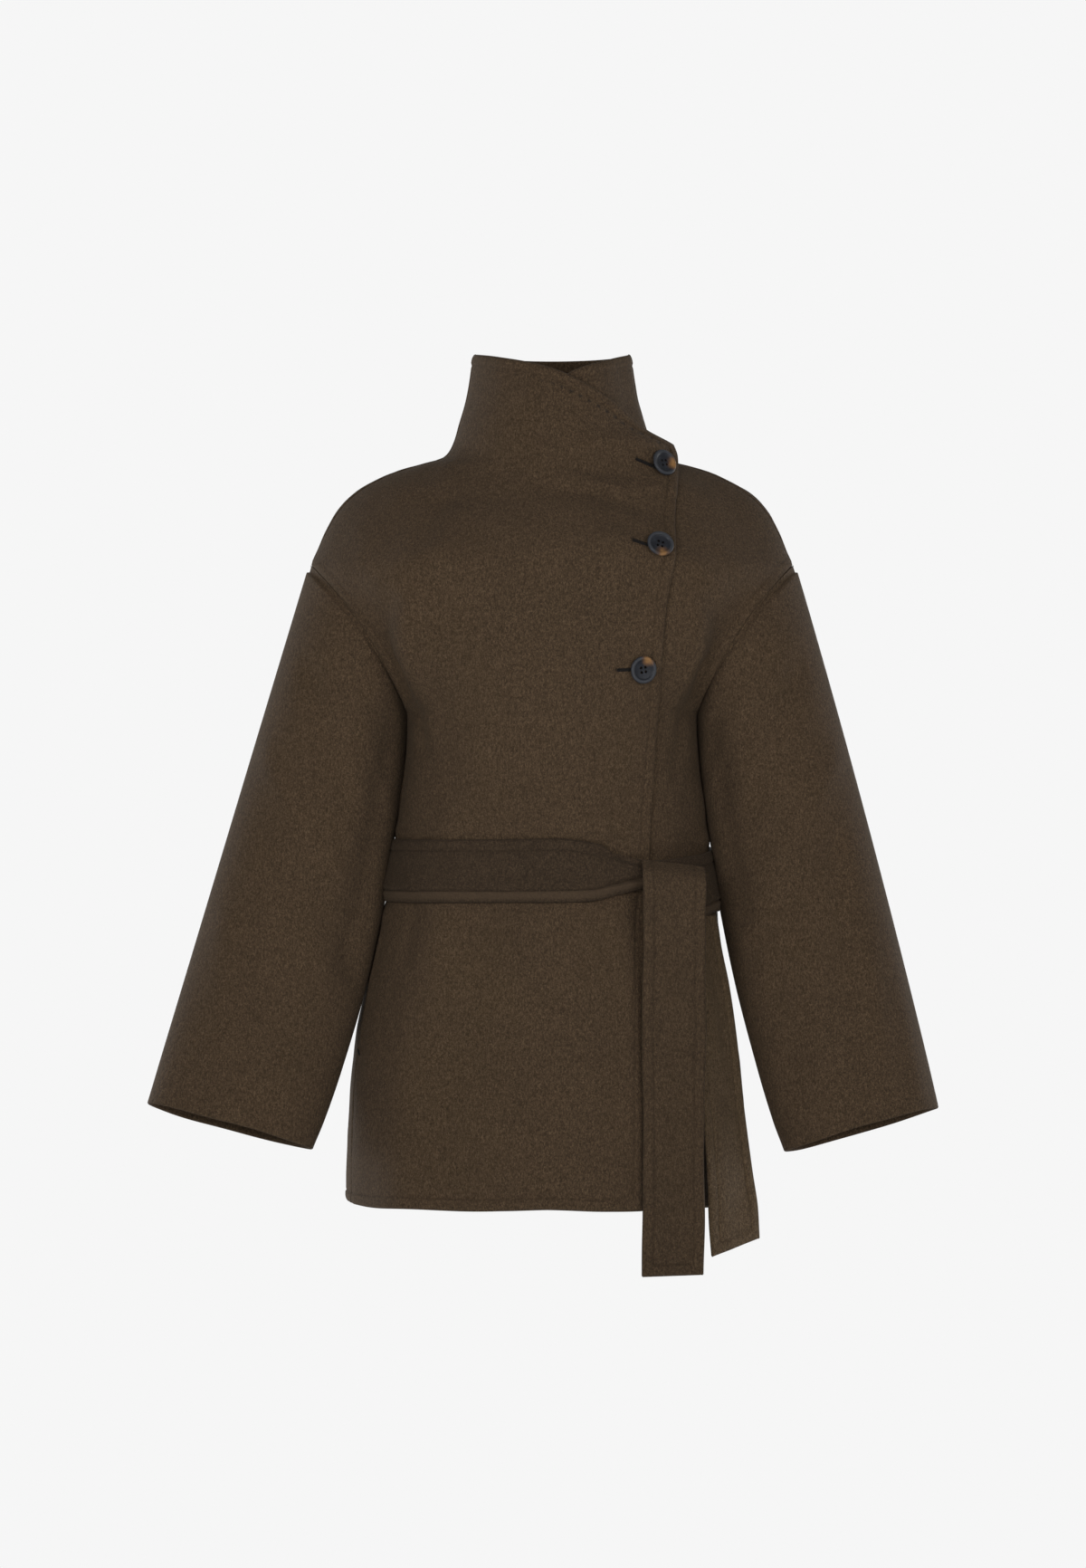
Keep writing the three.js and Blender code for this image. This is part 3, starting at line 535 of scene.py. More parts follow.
def grid_faces(rows, columns, closed):
    """Numbers of a grid's points, the first column again after the last if closed, and its faces."""
    index = np.arange(rows * columns).reshape(rows, columns)
    if closed:
        index = np.concatenate([index, index[:, :1]], axis=1)
    corners = [index[:-1, :-1], index[1:, :-1], index[1:, 1:], index[:-1, 1:]]
    return index, np.stack(corners, axis=-1).reshape(-1, 4)


def make_object(name, vertices, faces, material, smooth=True):
    mesh = bpy.data.meshes.new(name)
    mesh.from_pydata((np.asarray(vertices) * METRES).tolist(), [], faces)
    mesh.materials.append(material)
    if smooth:
        mesh.shade_smooth()
    piece = bpy.data.objects.new(name, mesh)
    bpy.context.scene.collection.objects.link(piece)
    return piece


def set_attribute(piece, name, kind, field, values):
    """Give each vertex a value that the cloth's material reads."""
    attribute = piece.data.attributes.new(name, kind, "POINT")
    attribute.data.foreach_set(field, np.ravel(values))


def shell(name, outer, inner, material, closed, round_sides, edge):
    """Closed cloth wall between two grids. Round sides bulge: top, bottom, left, right."""
    rows, columns = outer.shape[:2]
    layer = rows * columns
    vertices = [outer.reshape(-1, 3), inner.reshape(-1, 3)]
    index, front = grid_faces(rows, columns, closed)
    faces = front.tolist() + (front[:, ::-1] + layer).tolist()
    sides = [
        ("top", index[0], outer[0] - outer[1], inner[0]),
        ("bottom", index[-1][::-1], (outer[-1] - outer[-2])[::-1], inner[-1][::-1]),
    ]
    if not closed:
        sides += [
            ("left", index[:, 0][::-1], (outer[:, 0] - outer[:, 1])[::-1], inner[:, 0][::-1]),
            ("right", index[:, -1], outer[:, -1] - outer[:, -2], inner[:, -1]),
        ]
    count = 2 * layer
    flat = outer.reshape(-1, 3)
    for side, line, outward, under in sides:
        ring = line[:columns] if closed else line
        upper = flat[ring]
        bulge = 0.42 * CLOTH if side in round_sides else 0.0
        middle = (upper + under[:len(ring)]) / 2 + unit(outward[:len(ring)]) * bulge
        vertices.append(middle)
        first = count
        count += len(ring)
        for i in range(len(line) - 1):
            j = (i + 1) % len(ring)
            faces.append([int(line[i]), int(line[i + 1]), first + j, first + i])
            faces.append([first + i, first + j, int(line[i + 1]) + layer, int(line[i]) + layer])
    piece = make_object(name, np.concatenate(vertices), faces, material)
    mark = np.tile([FAR, 0, 0], (count, 1))
    mark[:layer] = edge.reshape(-1, 3)
    set_attribute(piece, "edge", "FLOAT_VECTOR", "vector", mark)
    return piece


def edge_marks(distance, run, picked):
    return np.stack(np.broadcast_arrays(distance, run, picked), axis=-1)


def finished_edge(distance):
    """Raised strip of a turned-in edge, its groove, and the rounding of the edge itself."""
    rounded = -0.8 * bell(distance, 0.9)
    strip = 0.6 * (1 - smoothstep(EDGE_LINE - 1, EDGE_LINE + 0.8, distance))
    groove = -0.7 * bell(distance - EDGE_LINE - 0.9, 0.9)
    return rounded + strip + groove


def seam_edge(distance):
    return -0.75 * bell(distance, 1.1)


def felled_seam(distance):
    """Seam whose allowance is sewn flat on this side of it."""
    strip = 0.5 * (1 - smoothstep(EDGE_LINE - 0.9, EDGE_LINE + 0.5, distance))
    groove = -0.7 * bell(distance - EDGE_LINE - 0.5, 0.9)
    return seam_edge(distance) + strip + groove


# Materials

class Nodes:
    """Small helper that adds and links shader nodes of one material."""

    def __init__(self, name):
        self.material = bpy.data.materials.new(name)
        self.material.use_nodes = True
        self.tree = self.material.node_tree
        self.shader = self.tree.nodes["Principled BSDF"]

    def add(self, kind, inputs=(), **settings):
        node = self.tree.nodes.new(kind)
        for key, value in settings.items():
            setattr(node, key, value)
        for key, value in dict(inputs).items():
            self.link(value, node.inputs[key])
        return node

    def link(self, value, socket):
        if isinstance(value, bpy.types.NodeSocket):
            self.tree.links.new(value, socket)
        else:
            socket.default_value = value

    def math(self, operation, first, second=0.0, third=0.0):
        node = self.add("ShaderNodeMath", {0: first, 1: second, 2: third}, operation=operation)
        return node.outputs[0]

    def times(self, first, second):
        return self.math("MULTIPLY", first, second)

    def place(self):
        return self.add("ShaderNodeTexCoord").outputs["Object"]

    def length(self, vector):
        return self.add("ShaderNodeVectorMath", {0: vector}, operation="LENGTH").outputs["Value"]

    def noise(self, vector, scale, detail=2.0, roughness=0.5):
        inputs = {"Vector": vector, "Scale": scale, "Detail": detail, "Roughness": roughness}
        return self.add("ShaderNodeTexNoise", inputs).outputs["Fac"]

    def ramp(self, value, *stops):
        node = self.add("ShaderNodeValToRGB", {"Fac": value})
        elements = node.color_ramp.elements
        while len(elements) < len(stops):
            elements.new(0.5)
        for element, (position, colour) in zip(elements, stops):
            element.position = position
            element.color = (*colour, 1)
        return node.outputs["Color"]

    def mix(self, share, first, second, blend="MIX"):
        node = self.add("ShaderNodeMix", data_type="RGBA", blend_type=blend)
        self.link(share, node.inputs["Factor"])
        self.link(first, node.inputs["A"])
        self.link(second, node.inputs["B"])
        return node.outputs["Result"]

    def bump(self, height, distance, strength=1.0, normal=None):
        inputs = {"Height": height, "Distance": distance, "Strength": strength}
        node = self.add("ShaderNodeBump", inputs)
        if normal is not None:
            self.link(normal, node.inputs["Normal"])
        return node.outputs["Normal"]

    def finish(self, **values):
        """Set or link the shader's own sockets, each named with underscores for its spaces."""
        for name, value in values.items():
            self.link(value, self.shader.inputs[name.replace("_", " ")])
        return self.material


def grey(value):
    return (value, value, value)


def wool(name, dark, middle, light):
    """Brushed wool: melange of fibres, nap lying down the cloth, and the lines of sewn edges, with painted
    shade along each edge's groove and a painted highlight where the lit attribute is set.
    """
    nodes = Nodes(name)
    place = nodes.place()
    nap = nodes.add("ShaderNodeMapping", {"Vector": place, "Scale": (1, 1, 0.5), "Rotation": (0, 0.12, 0)})
    nap_place = nap.outputs["Vector"]
    fibre = nodes.noise(nap_place, 1500, 2.0, 0.6)
    tuft = nodes.noise(nap_place, 620, 3.0, 0.6)
    patch = nodes.noise(place, 17, 2.0, 0.5)
    melange = nodes.math("MULTIPLY_ADD", tuft, 0.42, nodes.times(fibre, 0.58))
    colour = nodes.ramp(melange, (0.38, dark), (0.5, middle), (0.63, light))
    shade = nodes.ramp(patch, (0.3, grey(0.95)), (0.7, grey(1.04)))
    colour = nodes.mix(1.0, colour, shade, "MULTIPLY")

    mark = nodes.add("ShaderNodeAttribute", attribute_name="edge").outputs["Vector"]
    parts = nodes.add("ShaderNodeSeparateXYZ", {0: mark})
    distance, run, picked = parts.outputs[0], parts.outputs[1], parts.outputs[2]
    off_line = nodes.math("DIVIDE", nodes.math("SUBTRACT", distance, PICK_LINE), 1.3)
    phase = nodes.math("FRACT", nodes.math("DIVIDE", run, PICK_SPACING))
    off_stitch = nodes.math("DIVIDE", nodes.math("SUBTRACT", phase, 0.5), 0.17)
    spread = nodes.math("MULTIPLY_ADD", off_line, off_line, nodes.times(off_stitch, off_stitch))
    dimple = nodes.times(nodes.math("EXPONENT", nodes.times(spread, -1.0)), picked)
    colour = nodes.mix(nodes.times(dimple, 0.6), colour, (*grey(0.003), 1))

    # Painted shade: the colour darkens towards the dark fibre tone along the groove inside each sewn edge.
    off_groove = nodes.math("DIVIDE", nodes.math("SUBTRACT", distance, EDGE_LINE + 0.8), 0.9)
    groove = nodes.math("EXPONENT", nodes.times(nodes.times(off_groove, off_groove), -1.0))
    colour = nodes.mix(nodes.times(groove, 0.3), colour, (*dark, 1))
    # Painted highlight: where the lit attribute is set, the colour is lightened towards the light fibre tone.
    lit = nodes.add("ShaderNodeAttribute", attribute_name="lit").outputs["Fac"]
    colour = nodes.mix(nodes.times(lit, 0.55), colour, (*light, 1))

    height = nodes.math("MULTIPLY_ADD", fibre, 0.5, nodes.times(tuft, 0.9))
    normal = nodes.bump(height, 0.0011, 0.85)
    normal = nodes.bump(patch, 0.0015, 0.5, normal)
    normal = nodes.bump(nodes.times(dimple, -1.0), 0.0018, 1.0, normal)
    return nodes.finish(
        Base_Color=colour, Normal=normal, Roughness=0.95, Specular_IOR_Level=0.08,
        Sheen_Weight=0.01, Sheen_Roughness=0.35, Sheen_Tint=(0.85, 0.6, 0.36, 1),
    )


def thread_material(name, colour):
    nodes = Nodes(name)
    place = nodes.place()
    twist = nodes.noise(place, 1800, 2.0)
    stops = [(at, [share * part for part in colour]) for at, share in ((0.35, 0.6), (0.65, 1.3))]
    normal = nodes.bump(twist, 0.0003, 0.8)
    return nodes.finish(
        Base_Color=nodes.ramp(twist, *stops), Normal=normal, Roughness=0.9, Specular_IOR_Level=0.06,
    )


HORN_DARKS = [
    (0.3, (0.0016, 0.0018, 0.0025)),
    (0.55, (0.003, 0.0034, 0.0045)),
    (0.75, (0.006, 0.0068, 0.0085)),
]
HORN_AMBERS = [
    (0.1, (0.07, 0.036, 0.012)),
    (0.42, (0.036, 0.017, 0.006)),
    (0.75, (0.005, 0.005, 0.006)),
]
# Painted reflection: a lighter ring near the button's rim, mixed into the dark horn.
HORN_RIM_REFLECTION_SHARES = [(0.7, grey(0)), (0.82, grey(1)), (0.93, grey(0.9)), (1.0, grey(0.2))]
HORN_RIM_PAINTED_REFLECTION = (0.0105, 0.0112, 0.0128, 1)
HORN_GRAIN = (0.03, 0.031, 0.036, 1)


def horn(name, patch):
    """Polished dark horn with one amber patch, placed on the button's own face, and a lighter ring round the
    rim as a painted reflection.
    """
    nodes = Nodes(name)
    face = nodes.add("ShaderNodeUVMap", uv_map="face").outputs["UV"]
    place = nodes.place()
    cloud = nodes.noise(face, 1.7, 3.0, 0.55)
    grain = nodes.noise(place, 900, 2.0, 0.5)
    blue = nodes.ramp(cloud, *HORN_DARKS)
    from_centre = nodes.length(face)
    # Painted reflection: the lighter ring round the rim.
    blue = nodes.mix(nodes.ramp(from_centre, *HORN_RIM_REFLECTION_SHARES), blue, HORN_RIM_PAINTED_REFLECTION)
    offset = nodes.add("ShaderNodeVectorMath", {0: face, 1: (-patch[0], -patch[1], 0)}, operation="ADD")
    away = nodes.length(offset.outputs["Vector"])
    ragged = nodes.math("MULTIPLY_ADD", cloud, -0.7, nodes.math("ADD", away, 0.35))
    amber = nodes.ramp(ragged, *HORN_AMBERS)
    share = nodes.ramp(ragged, (0.2, grey(1)), (0.66, grey(0)))
    colour = nodes.mix(nodes.times(grain, 0.12), nodes.mix(share, blue, amber), HORN_GRAIN)
    normal = nodes.bump(grain, 0.0001, 0.25)
    return nodes.finish(Base_Color=colour, Normal=normal, Roughness=0.42, Specular_IOR_Level=0.05)


coat_wool = wool("coat_wool", (0.0074, 0.0044, 0.002), (0.0155, 0.0096, 0.0049), (0.031, 0.02, 0.0112))
# The next three are copies of the coat's cloth with painted shade and painted light in their colour: the
# waist belt's copy is much darker, the knot's and front tail's a little darker, and the side tail's lighter.
strap_wool_painted_shade = wool("strap_wool_painted_shade", (0.005, 0.003, 0.0014), (0.0101, 0.0063, 0.0033), (0.0205, 0.0134, 0.0077))
belt_wool = wool("belt_wool", (0.0069, 0.0041, 0.0019), (0.0141, 0.0088, 0.0045), (0.028, 0.0182, 0.0102))
side_wool_painted_light = wool("side_wool_painted_light", (0.011, 0.007, 0.0033), (0.0225, 0.0146, 0.0076), (0.044, 0.0297, 0.0172))
dark_thread = thread_material("dark_thread", (0.0035, 0.003, 0.0027))


# Body panels

def row_levels():
    """Heights of the rows, and for rows through the armhole the place on it."""
    fan = np.linspace(profile["z"][0], COLLAR_FAN_END, 58)
    shoulder = np.linspace(COLLAR_FAN_END, TIP[1], 15)[1:-1]
    turn = np.linspace(0, math.pi, ARMHOLE_ROWS + 1)
    skirt = np.linspace(UNDERARM[1], LAST_LEVEL + 16, 104)[1:]
    hem = LAST_LEVEL + np.array([13.5, 11.6, 10.2, 8.8, 7.2, 5.2, 3.2, 1.6, 0.6, 0])
    level = np.concatenate([fan, shoulder, armhole_point(turn)[:, 2], skirt, hem])
    theta = np.full(len(level), np.nan)
    start = len(fan) + len(shoulder)
    theta[start:start + len(turn)] = turn
    return level, theta


def row_height(level, top_level, top_edge, angle):
    """Rows fan out to the collar's top edge and to the hem."""
    share = (top_level - level) / (top_level - COLLAR_FAN_END)
    fanned = top_edge + (COLLAR_FAN_END - top_edge) * share
    turned = np.degrees(np.abs(np.arctan2(np.sin(angle), np.cos(angle))))
    hem_share = (HEM_FAN_START - level) / (HEM_FAN_START - LAST_LEVEL)
    hemmed = HEM_FAN_START + (hem_at(turned) - HEM_FAN_START) * hem_share
    return np.where(level > COLLAR_FAN_END, fanned, np.where(level < HEM_FAN_START, hemmed, level))


def side_angle(level, theta, z, behind):
    depth = ARMHOLE_BACK if behind else ARMHOLE_FRONT
    depth_at = back_depth_at if behind else front_depth_at
    reach = np.clip(depth * np.sin(np.nan_to_num(theta)) / depth_at(level), 0, 1)
    angle = np.arccos(reach ** (roundness_at(level) / 2))
    through = math.pi - angle if behind else angle
    above = np.where(level > (TIP[1] + UNDERARM[1]) / 2, math.pi / 2, np.radians(seam_swing_at(z)))
    return np.where(np.isnan(theta), above, through)


def armhole_seam(theta, side, toward):
    """Outer seam points, moved half a gap to the panel (-1) or the sleeve (+1), and the directions
    to the outside and across the seam."""
    step = math.pi / 80
    flip = np.array([side, 1, 1])
    place = armhole_point(theta) * flip
    ahead = (armhole_point(theta + step) - armhole_point(theta - step)) * flip
    outward = 0.6 * np.maximum(np.cos(theta), 0) + 0.35 * np.abs(np.sin(theta))
    mitre = unit(np.stack([side * outward, -np.sin(theta), np.cos(theta)], axis=-1))
    across = unit(np.cross(ahead, mitre))
    across = across * np.where(across[..., :1] * side < 0, -1, 1)
    return place + across * toward * SEAM_GAP / 2, mitre, across


def panel_grid(shape, level, theta, share):
    level = level[:, None] + 0 * share
    theta = theta[:, None] + 0 * share
    top_edge = shape["top_edge"](share)
    guess = shape["angle"](level, theta, level, share)
    z = row_height(level, shape["top_level"], top_edge, guess)
    return shape["angle"](level, theta, z, share), z


def spaced_shares(shape, level, theta):
    """Shares across the panel that put narrow columns at its edges and even ones between."""
    dense = np.tile(np.linspace(0, 1, 181), (len(level), 1))
    angle, z = panel_grid(shape, level, theta, dense)
    points = body_surface(angle, z, shape["flap"])
    steps = np.linalg.norm(np.diff(points, axis=1), axis=2)
    length = np.concatenate([np.zeros((len(level), 1)), np.cumsum(steps, axis=1)], axis=1)
    total = length[:, -1:]
    start = np.array(shape["left_band"])
    end = np.array(shape["right_band"])
    middle = np.linspace(0, 1, shape["columns"])[1:-1]
    left = np.tile(start, (len(level), 1))
    between = start[-1] + (total - start[-1] - end[-1]) * middle
    target = np.concatenate([left, between, total - end[::-1]], axis=1)
    return np.array([np.interp(want, have, dense[0]) for want, have in zip(target, length)])


FREE_BAND = [0, 0.7, 1.7, 3.2, 5.2, 7.0, 8.4, 9.6, 10.8, 12.6, 15]
SEAM_BAND = [0, 0.7, 1.7, 3.2, 5.2, 7.2, 8.4, 9.4, 10.6, 13]
COLLAR_BAND = [0, 0.8, 1.9, 3.4, 5.4, 7.2, 8.6, 9.8, 11.2, 13.5]


def pocket_mouth(z):
    """How far open the pocket in the side seam stands at a height."""
    return smoothstep(-430, -452, z) * (1 - smoothstep(-548, -566, z))


def body_panel(name, shape):
    level, theta = row_levels()
    keep = level <= shape["top_level"]
    level, theta = level[keep], theta[keep]
    share = spaced_shares(shape, level, theta)
    angle, z = panel_grid(shape, level, theta, share)
    outer = body_surface(angle, z, shape["flap"])
    normals = body_normal(angle, z, shape["flap"])
    if "out" in shape:
        outer = outer + normals * shape["out"](angle)[..., None]
    inward = normals.copy()
    rows = ~np.isnan(theta)
    for column, side in shape["armholes"]:
        turn = -theta[rows] if shape["behind"] else theta[rows]
        seam, mitre, _ = armhole_seam(turn, side, -1)
        shift = seam - outer[rows, column]
        away = np.linalg.norm(outer[rows] - outer[rows, column][:, None], axis=2)
        near = 1 - smoothstep(0, 14, away)
        outer[rows] += shift[:, None] * near[..., None]
        turned = 1 - smoothstep(0, 9, away)
        inward[rows] = unit(inward[rows] * (1 - turned[..., None]) + mitre[:, None] * turned[..., None])
    inner = outer - inward * CLOTH

    relief = unevenness(outer, 62, 0.35) + unevenness(outer, 24, 0.1)
    edge = np.full(share.shape, FAR)
    run = np.zeros(share.shape)
    lines = {"top": outer[0], "bottom": outer[-1], "left": outer[:, 0], "right": outer[:, -1]}
    for side in shape["free"]:
        distance, length = border_distance(outer, lines[side])
        run = np.where(distance < edge, length, run)
        edge = np.minimum(edge, distance)
    relief = relief * smoothstep(0, 5, edge) + finished_edge(edge)
    line = edge
    through = (rows | (level > TIP[1]))[:, None]
    from_top, _ = border_distance(outer, lines["top"])
    kept = smoothstep(0, 5, from_top) if "top" in shape["free"] else 1
    for side in shape["seams"]:
        distance, _ = border_distance(outer, lines[side])
        relief += np.where(through, felled_seam(distance) * kept, seam_edge(distance))
        line = np.minimum(line, np.where(through, distance, FAR))
        mouth = pocket_mouth(z) * (1 - smoothstep(0, 11, distance))
        relief += mouth * (-1.3 if shape["behind"] else 1.2)
    picked = shape["picked"](z, angle) if "picked" in shape else 0
    outer = outer + normals * relief[..., None]
    sag = unevenness(outer, 90, 0.55) * (1 - smoothstep(0, 40, z - z[-1:]))
    raise_by(sag, outer, inner)
    return shell(name, outer, inner, coat_wool, False, shape["free"], edge_marks(line, run, picked))


def over_front_angle(level, theta, z, share):
    side = -side_angle(level, theta, z, False)
    held = np.minimum(z, front_edge[0][0])
    edge = angle_across(front_edge_at(held), held, flap_half_at)
    return lerp(side, edge, share)


def under_front_angle(level, theta, z, share):
    side = side_angle(level, theta, z, False)
    held = np.minimum(z, front_edge[0][0])
    edge = angle_across(-front_edge_at(held), held, front_half_at, UNDER_REACH)
    return lerp(edge, side, share)


def back_angle(level, theta, z, share):
    side = side_angle(level, theta, z, True)
    return side + (2 * math.pi - 2 * side) * share


def under_front_out(angle):
    hidden = HIDDEN_EDGE_INSET * smoothstep(0, math.radians(30), -angle)
    return UNDER_INSET * (smoothstep(math.radians(58), math.radians(80), angle) - 1) - hidden


def over_picked(z, angle):
    return smoothstep(2, 12, z) * (0.15 + 0.85 * smoothstep(math.radians(-12), math.radians(16), angle))


def under_picked(z, angle):
    return 0.25 * smoothstep(2, 12, z)


panels = {
    "front_over_cloth": {
        "top_level": COLLAR_TOP, "columns": 66, "flap": True, "behind": False,
        "top_edge": collar_top_at, "angle": over_front_angle,
        "left_band": SEAM_BAND, "right_band": FREE_BAND,
        "armholes": [(0, -1)], "free": ("top", "bottom", "right"), "seams": ("left",),
        "picked": over_picked,
    },
    "front_under_cloth": {
        "top_level": COLLAR_TOP, "columns": 60, "flap": False, "behind": False,
        "top_edge": lambda share: collar_top_at(1 - share),
        "angle": under_front_angle, "out": under_front_out,
        "left_band": FREE_BAND, "right_band": SEAM_BAND,
        "armholes": [(-1, 1)], "free": ("top", "bottom", "left"), "seams": ("right",),
        "picked": under_picked,
    },
    "back_cloth": {
        "top_level": 0, "columns": 92, "flap": False, "behind": True,
        "top_edge": lambda share: BACK_NECK_RISE * np.sin(math.pi * share) - SEAM_GAP / 2,
        "angle": back_angle,
        "left_band": SEAM_BAND, "right_band": SEAM_BAND,
        "armholes": [(0, 1), (-1, -1)], "free": ("bottom",), "seams": ("top", "left", "right"),
    },
}


def back_collar():
    share = np.linspace(0, 1, 62)[None, :]
    rows = np.concatenate([COLLAR_BAND, np.linspace(17, 94, 22), [96, COLLAR_TOP]])[:, None]
    bottom = BACK_NECK_RISE * np.sin(math.pi * share) + SEAM_GAP / 2
    z = COLLAR_TOP + rows / COLLAR_TOP * (bottom - COLLAR_TOP)
    angle = np.radians(90 + 180 * share) + 0 * z
    outer = body_surface(angle, z)
    outer[:, [0, -1], 1] += SEAM_GAP / 2
    normals = body_normal(angle, z)
    inner = outer - normals * CLOTH
    inner[:, [0, -1], 1] -= SEAM_TUCK
    top, run = border_distance(outer, outer[0])
    relief = unevenness(outer, 50, 0.3) * smoothstep(0, 6, top) + finished_edge(top)
    for line in (outer[-1], outer[:, 0], outer[:, -1]):
        relief += seam_edge(border_distance(outer, line)[0]) * smoothstep(0, 5, top)
    outer = outer + normals * relief[..., None]
    return shell("collar_back_cloth", outer, inner, coat_wool, False, ("top",), edge_marks(top, run, 0.25))


# Sleeves

sleeve_inner_at = curve_of(sleeve_inner_line)
sleeve_curves = table_curves(sleeve_depth)


def sleeve_place(sleeve, folds, angle, share, out):
    """Place on a sleeve at an angle round it and a share of its length."""
    inner_z = lerp(UNDERARM[1], sleeve["inner"][1], share)
    drift = sleeve["inner"][0] - sleeve_inner_at(sleeve["inner"][1])
    inner_x = sleeve_inner_at(inner_z) + drift * share ** 3
    bow = sleeve["bow"] * np.clip(np.sin(math.pi * share), 0, 1) ** BOW_ROUNDNESS
    outer_x = lerp(TIP[0], sleeve["outer"][0], share) + bow
    outer_z = lerp(TIP[1], sleeve["outer"][1], share)
    half_x = (outer_x - inner_x) / 2
    half_z = (outer_z - inner_z) / 2
    length = np.hypot(half_x, half_z)
    sine = np.sin(angle)
    cosine = np.cos(angle)
    full = lerp(1, sleeve["full"], share)
    depth = np.where(sine > 0, sleeve_curves["front"](share), sleeve_curves["back"](share)) * full
    turned = np.degrees(np.arctan2(sine, cosine))
    fold = fold_height(folds, turned, share, SLEEVE_MM_PER_DEGREE, SLEEVE_MM_PER_SHARE)
    move = out + fold * smoothstep(0, SLEEVE_FOLD_FADE, share)
    dip = ARMHOLE_DIP * sine * sine * (1 - smoothstep(0, ARMHOLE_DIP_END, share))
    reach = (length + move) * cosine
    x = (outer_x + inner_x) / 2 + half_x / length * reach - dip * half_z / length
    z = (outer_z + inner_z) / 2 + half_z / length * reach + dip * half_x / length
    y = sleeve_curves["centre"](share) - (depth + move) * sine
    z = z + sleeve_curves["lift"](share) * sine
    return np.stack([sleeve["side"] * x, y, z], axis=-1)


def sleeve_tube(sleeve):
    own_folds = right_sleeve_folds if sleeve["side"] < 0 else left_sleeve_folds
    folds = table(FOLD_NAMES, main_sleeve_folds + own_folds)
    near_seam = UNDERARM_SEAM_ANGLE + np.array([-2.4, -1.4, -0.6, 0, 0.6, 1.4, 2.4])
    around = np.radians(np.unique(np.concatenate([np.arange(0, 360, 4.0), near_seam])))
    start = np.array([0, 0.0016, 0.004, 0.008, 0.013, 0.019, 0.026])
    cuff = 1 - np.array([0.026, 0.0215, 0.0185, 0.016, 0.012, 0.008, 0.0045, 0.0018, 0.0006, 0])
    share = np.concatenate([start, np.linspace(0.034, 0.968, 108), cuff])[:, None]
    angle = around[None, :] + 0 * share
    share = share + 0 * angle
    outer = sleeve_place(sleeve, folds, angle, share, 0)
    seam, mitre, across_seam = armhole_seam(around, sleeve["side"], 1)
    near = 1 - smoothstep(0, 0.03, share)
    outer += (seam - outer[0])[None] * near[..., None]
    normals = sleeve["side"] * tube_normals(outer)
    turned = (1 - smoothstep(0, 0.02, share))[..., None]
    inward = unit(normals * (1 - turned) + mitre[None] * turned)
    inner = outer - inward * CLOTH
    inner[:2] -= across_seam * SEAM_TUCK
    from_seam, _ = ring_distance(outer, 0)
    from_cuff, run = ring_distance(outer, -1)
    across = SLEEVE_MM_PER_DEGREE * np.abs(np.degrees(angle) - UNDERARM_SEAM_ANGLE)
    relief = unevenness(outer, 66, 0.4) + unevenness(outer, 25, 0.12)
    relief = relief * smoothstep(0, 6, from_cuff) * smoothstep(0, 6, from_seam)
    relief += finished_edge(from_cuff) + seam_edge(from_seam)
    relief += 0.4 * bell(from_seam - 7, 6) * smoothstep(-0.6, 0.7, np.cos(angle))
    relief -= 0.7 * bell(across, 1.1) * smoothstep(4, 12, from_seam)
    outer = outer + normals * relief[..., None]
    sag = unevenness(outer, 70, 0.8) * (1 - smoothstep(0, 45, from_cuff))
    raise_by(sag, outer, inner)
    if sleeve["side"] > 0:
        outer, inner, from_cuff, run = (grid[:, ::-1] for grid in (outer, inner, from_cuff, run))
    marks = edge_marks(from_cuff, run, 0)
    return shell(sleeve["name"] + "_cloth", outer, inner, coat_wool, True, ("bottom",), marks)


# Belt

belt_curves = table_curves(belt_line)
BELT_BAND = np.array(FREE_BAND[:-1])


def band_shares(width, middle_rows):
    band = BELT_BAND / width
    return np.concatenate([band, np.linspace(band[-1], 1 - band[-1], middle_rows)[1:-1], 1 - band[::-1]])


def waist_belt():
    stretches = [np.arange(-180, -14, 2.0), np.arange(-14, 72, 0.8), np.arange(72, 180, 2.0)]
    turned = np.concatenate(stretches)[None, :]
    share = band_shares(58, 12)[:, None]
    z = lerp(belt_curves["top"](turned), belt_curves["bottom"](turned), share)
    turned = turned + 0 * z
    angle = np.radians(turned)
    out = BELT_STAND_OFF + belt_curves["out"](turned)
    normals = body_normal(angle, z)
    surface = body_surface(angle, z)
    inner = surface + normals * out[..., None]
    outer = surface + normals * (out + CLOTH)[..., None]
    top, run = ring_distance(outer, 0)
    bottom, _ = ring_distance(outer, -1)
    edge = np.minimum(top, bottom)
    pinch = fold_height(belt_folds, turned, z, BODY_MM_PER_DEGREE * 0.9, 1)
    relief = unevenness(outer, 34, 0.35) * smoothstep(0, 6, edge) + finished_edge(edge) * 1.2 + pinch
    lean = BELT_LEAN * np.clip(top / BELT_LEAN_REACH, 0, 1) * smoothstep(8, 12, bottom)
    past_band = smoothstep(LOWER_BAND_WIDTH, LOWER_BAND_WIDTH + 2, bottom)
    lower_band = LOWER_BAND_RISE * smoothstep(0, LOWER_BAND_WIDTH, bottom) * (1 - past_band)
    outer = outer + normals * (relief + lean + lower_band)[..., None]
    raise_by(unevenness(outer, 120, 0.5), outer, inner)
    marks = edge_marks(edge, run, 0)
    # The waist belt is drawn in the much darker copy of the coat's cloth, as painted shade.
    piece = shell("belt_waist_cloth", outer, inner, strap_wool_painted_shade, True, ("top", "bottom"), marks)
    # Painted highlight: the belt's lower band gets the lit attribute, which lightens its colour.
    lit = np.zeros(len(piece.data.vertices))
    band = smoothstep(1, 3, bottom) * (1 - smoothstep(LOWER_BAND_WIDTH, LOWER_BAND_WIDTH + 1, bottom))
    lit[:band.size] = band.ravel()
    set_attribute(piece, "lit", "FLOAT", "value", lit)
    return piece


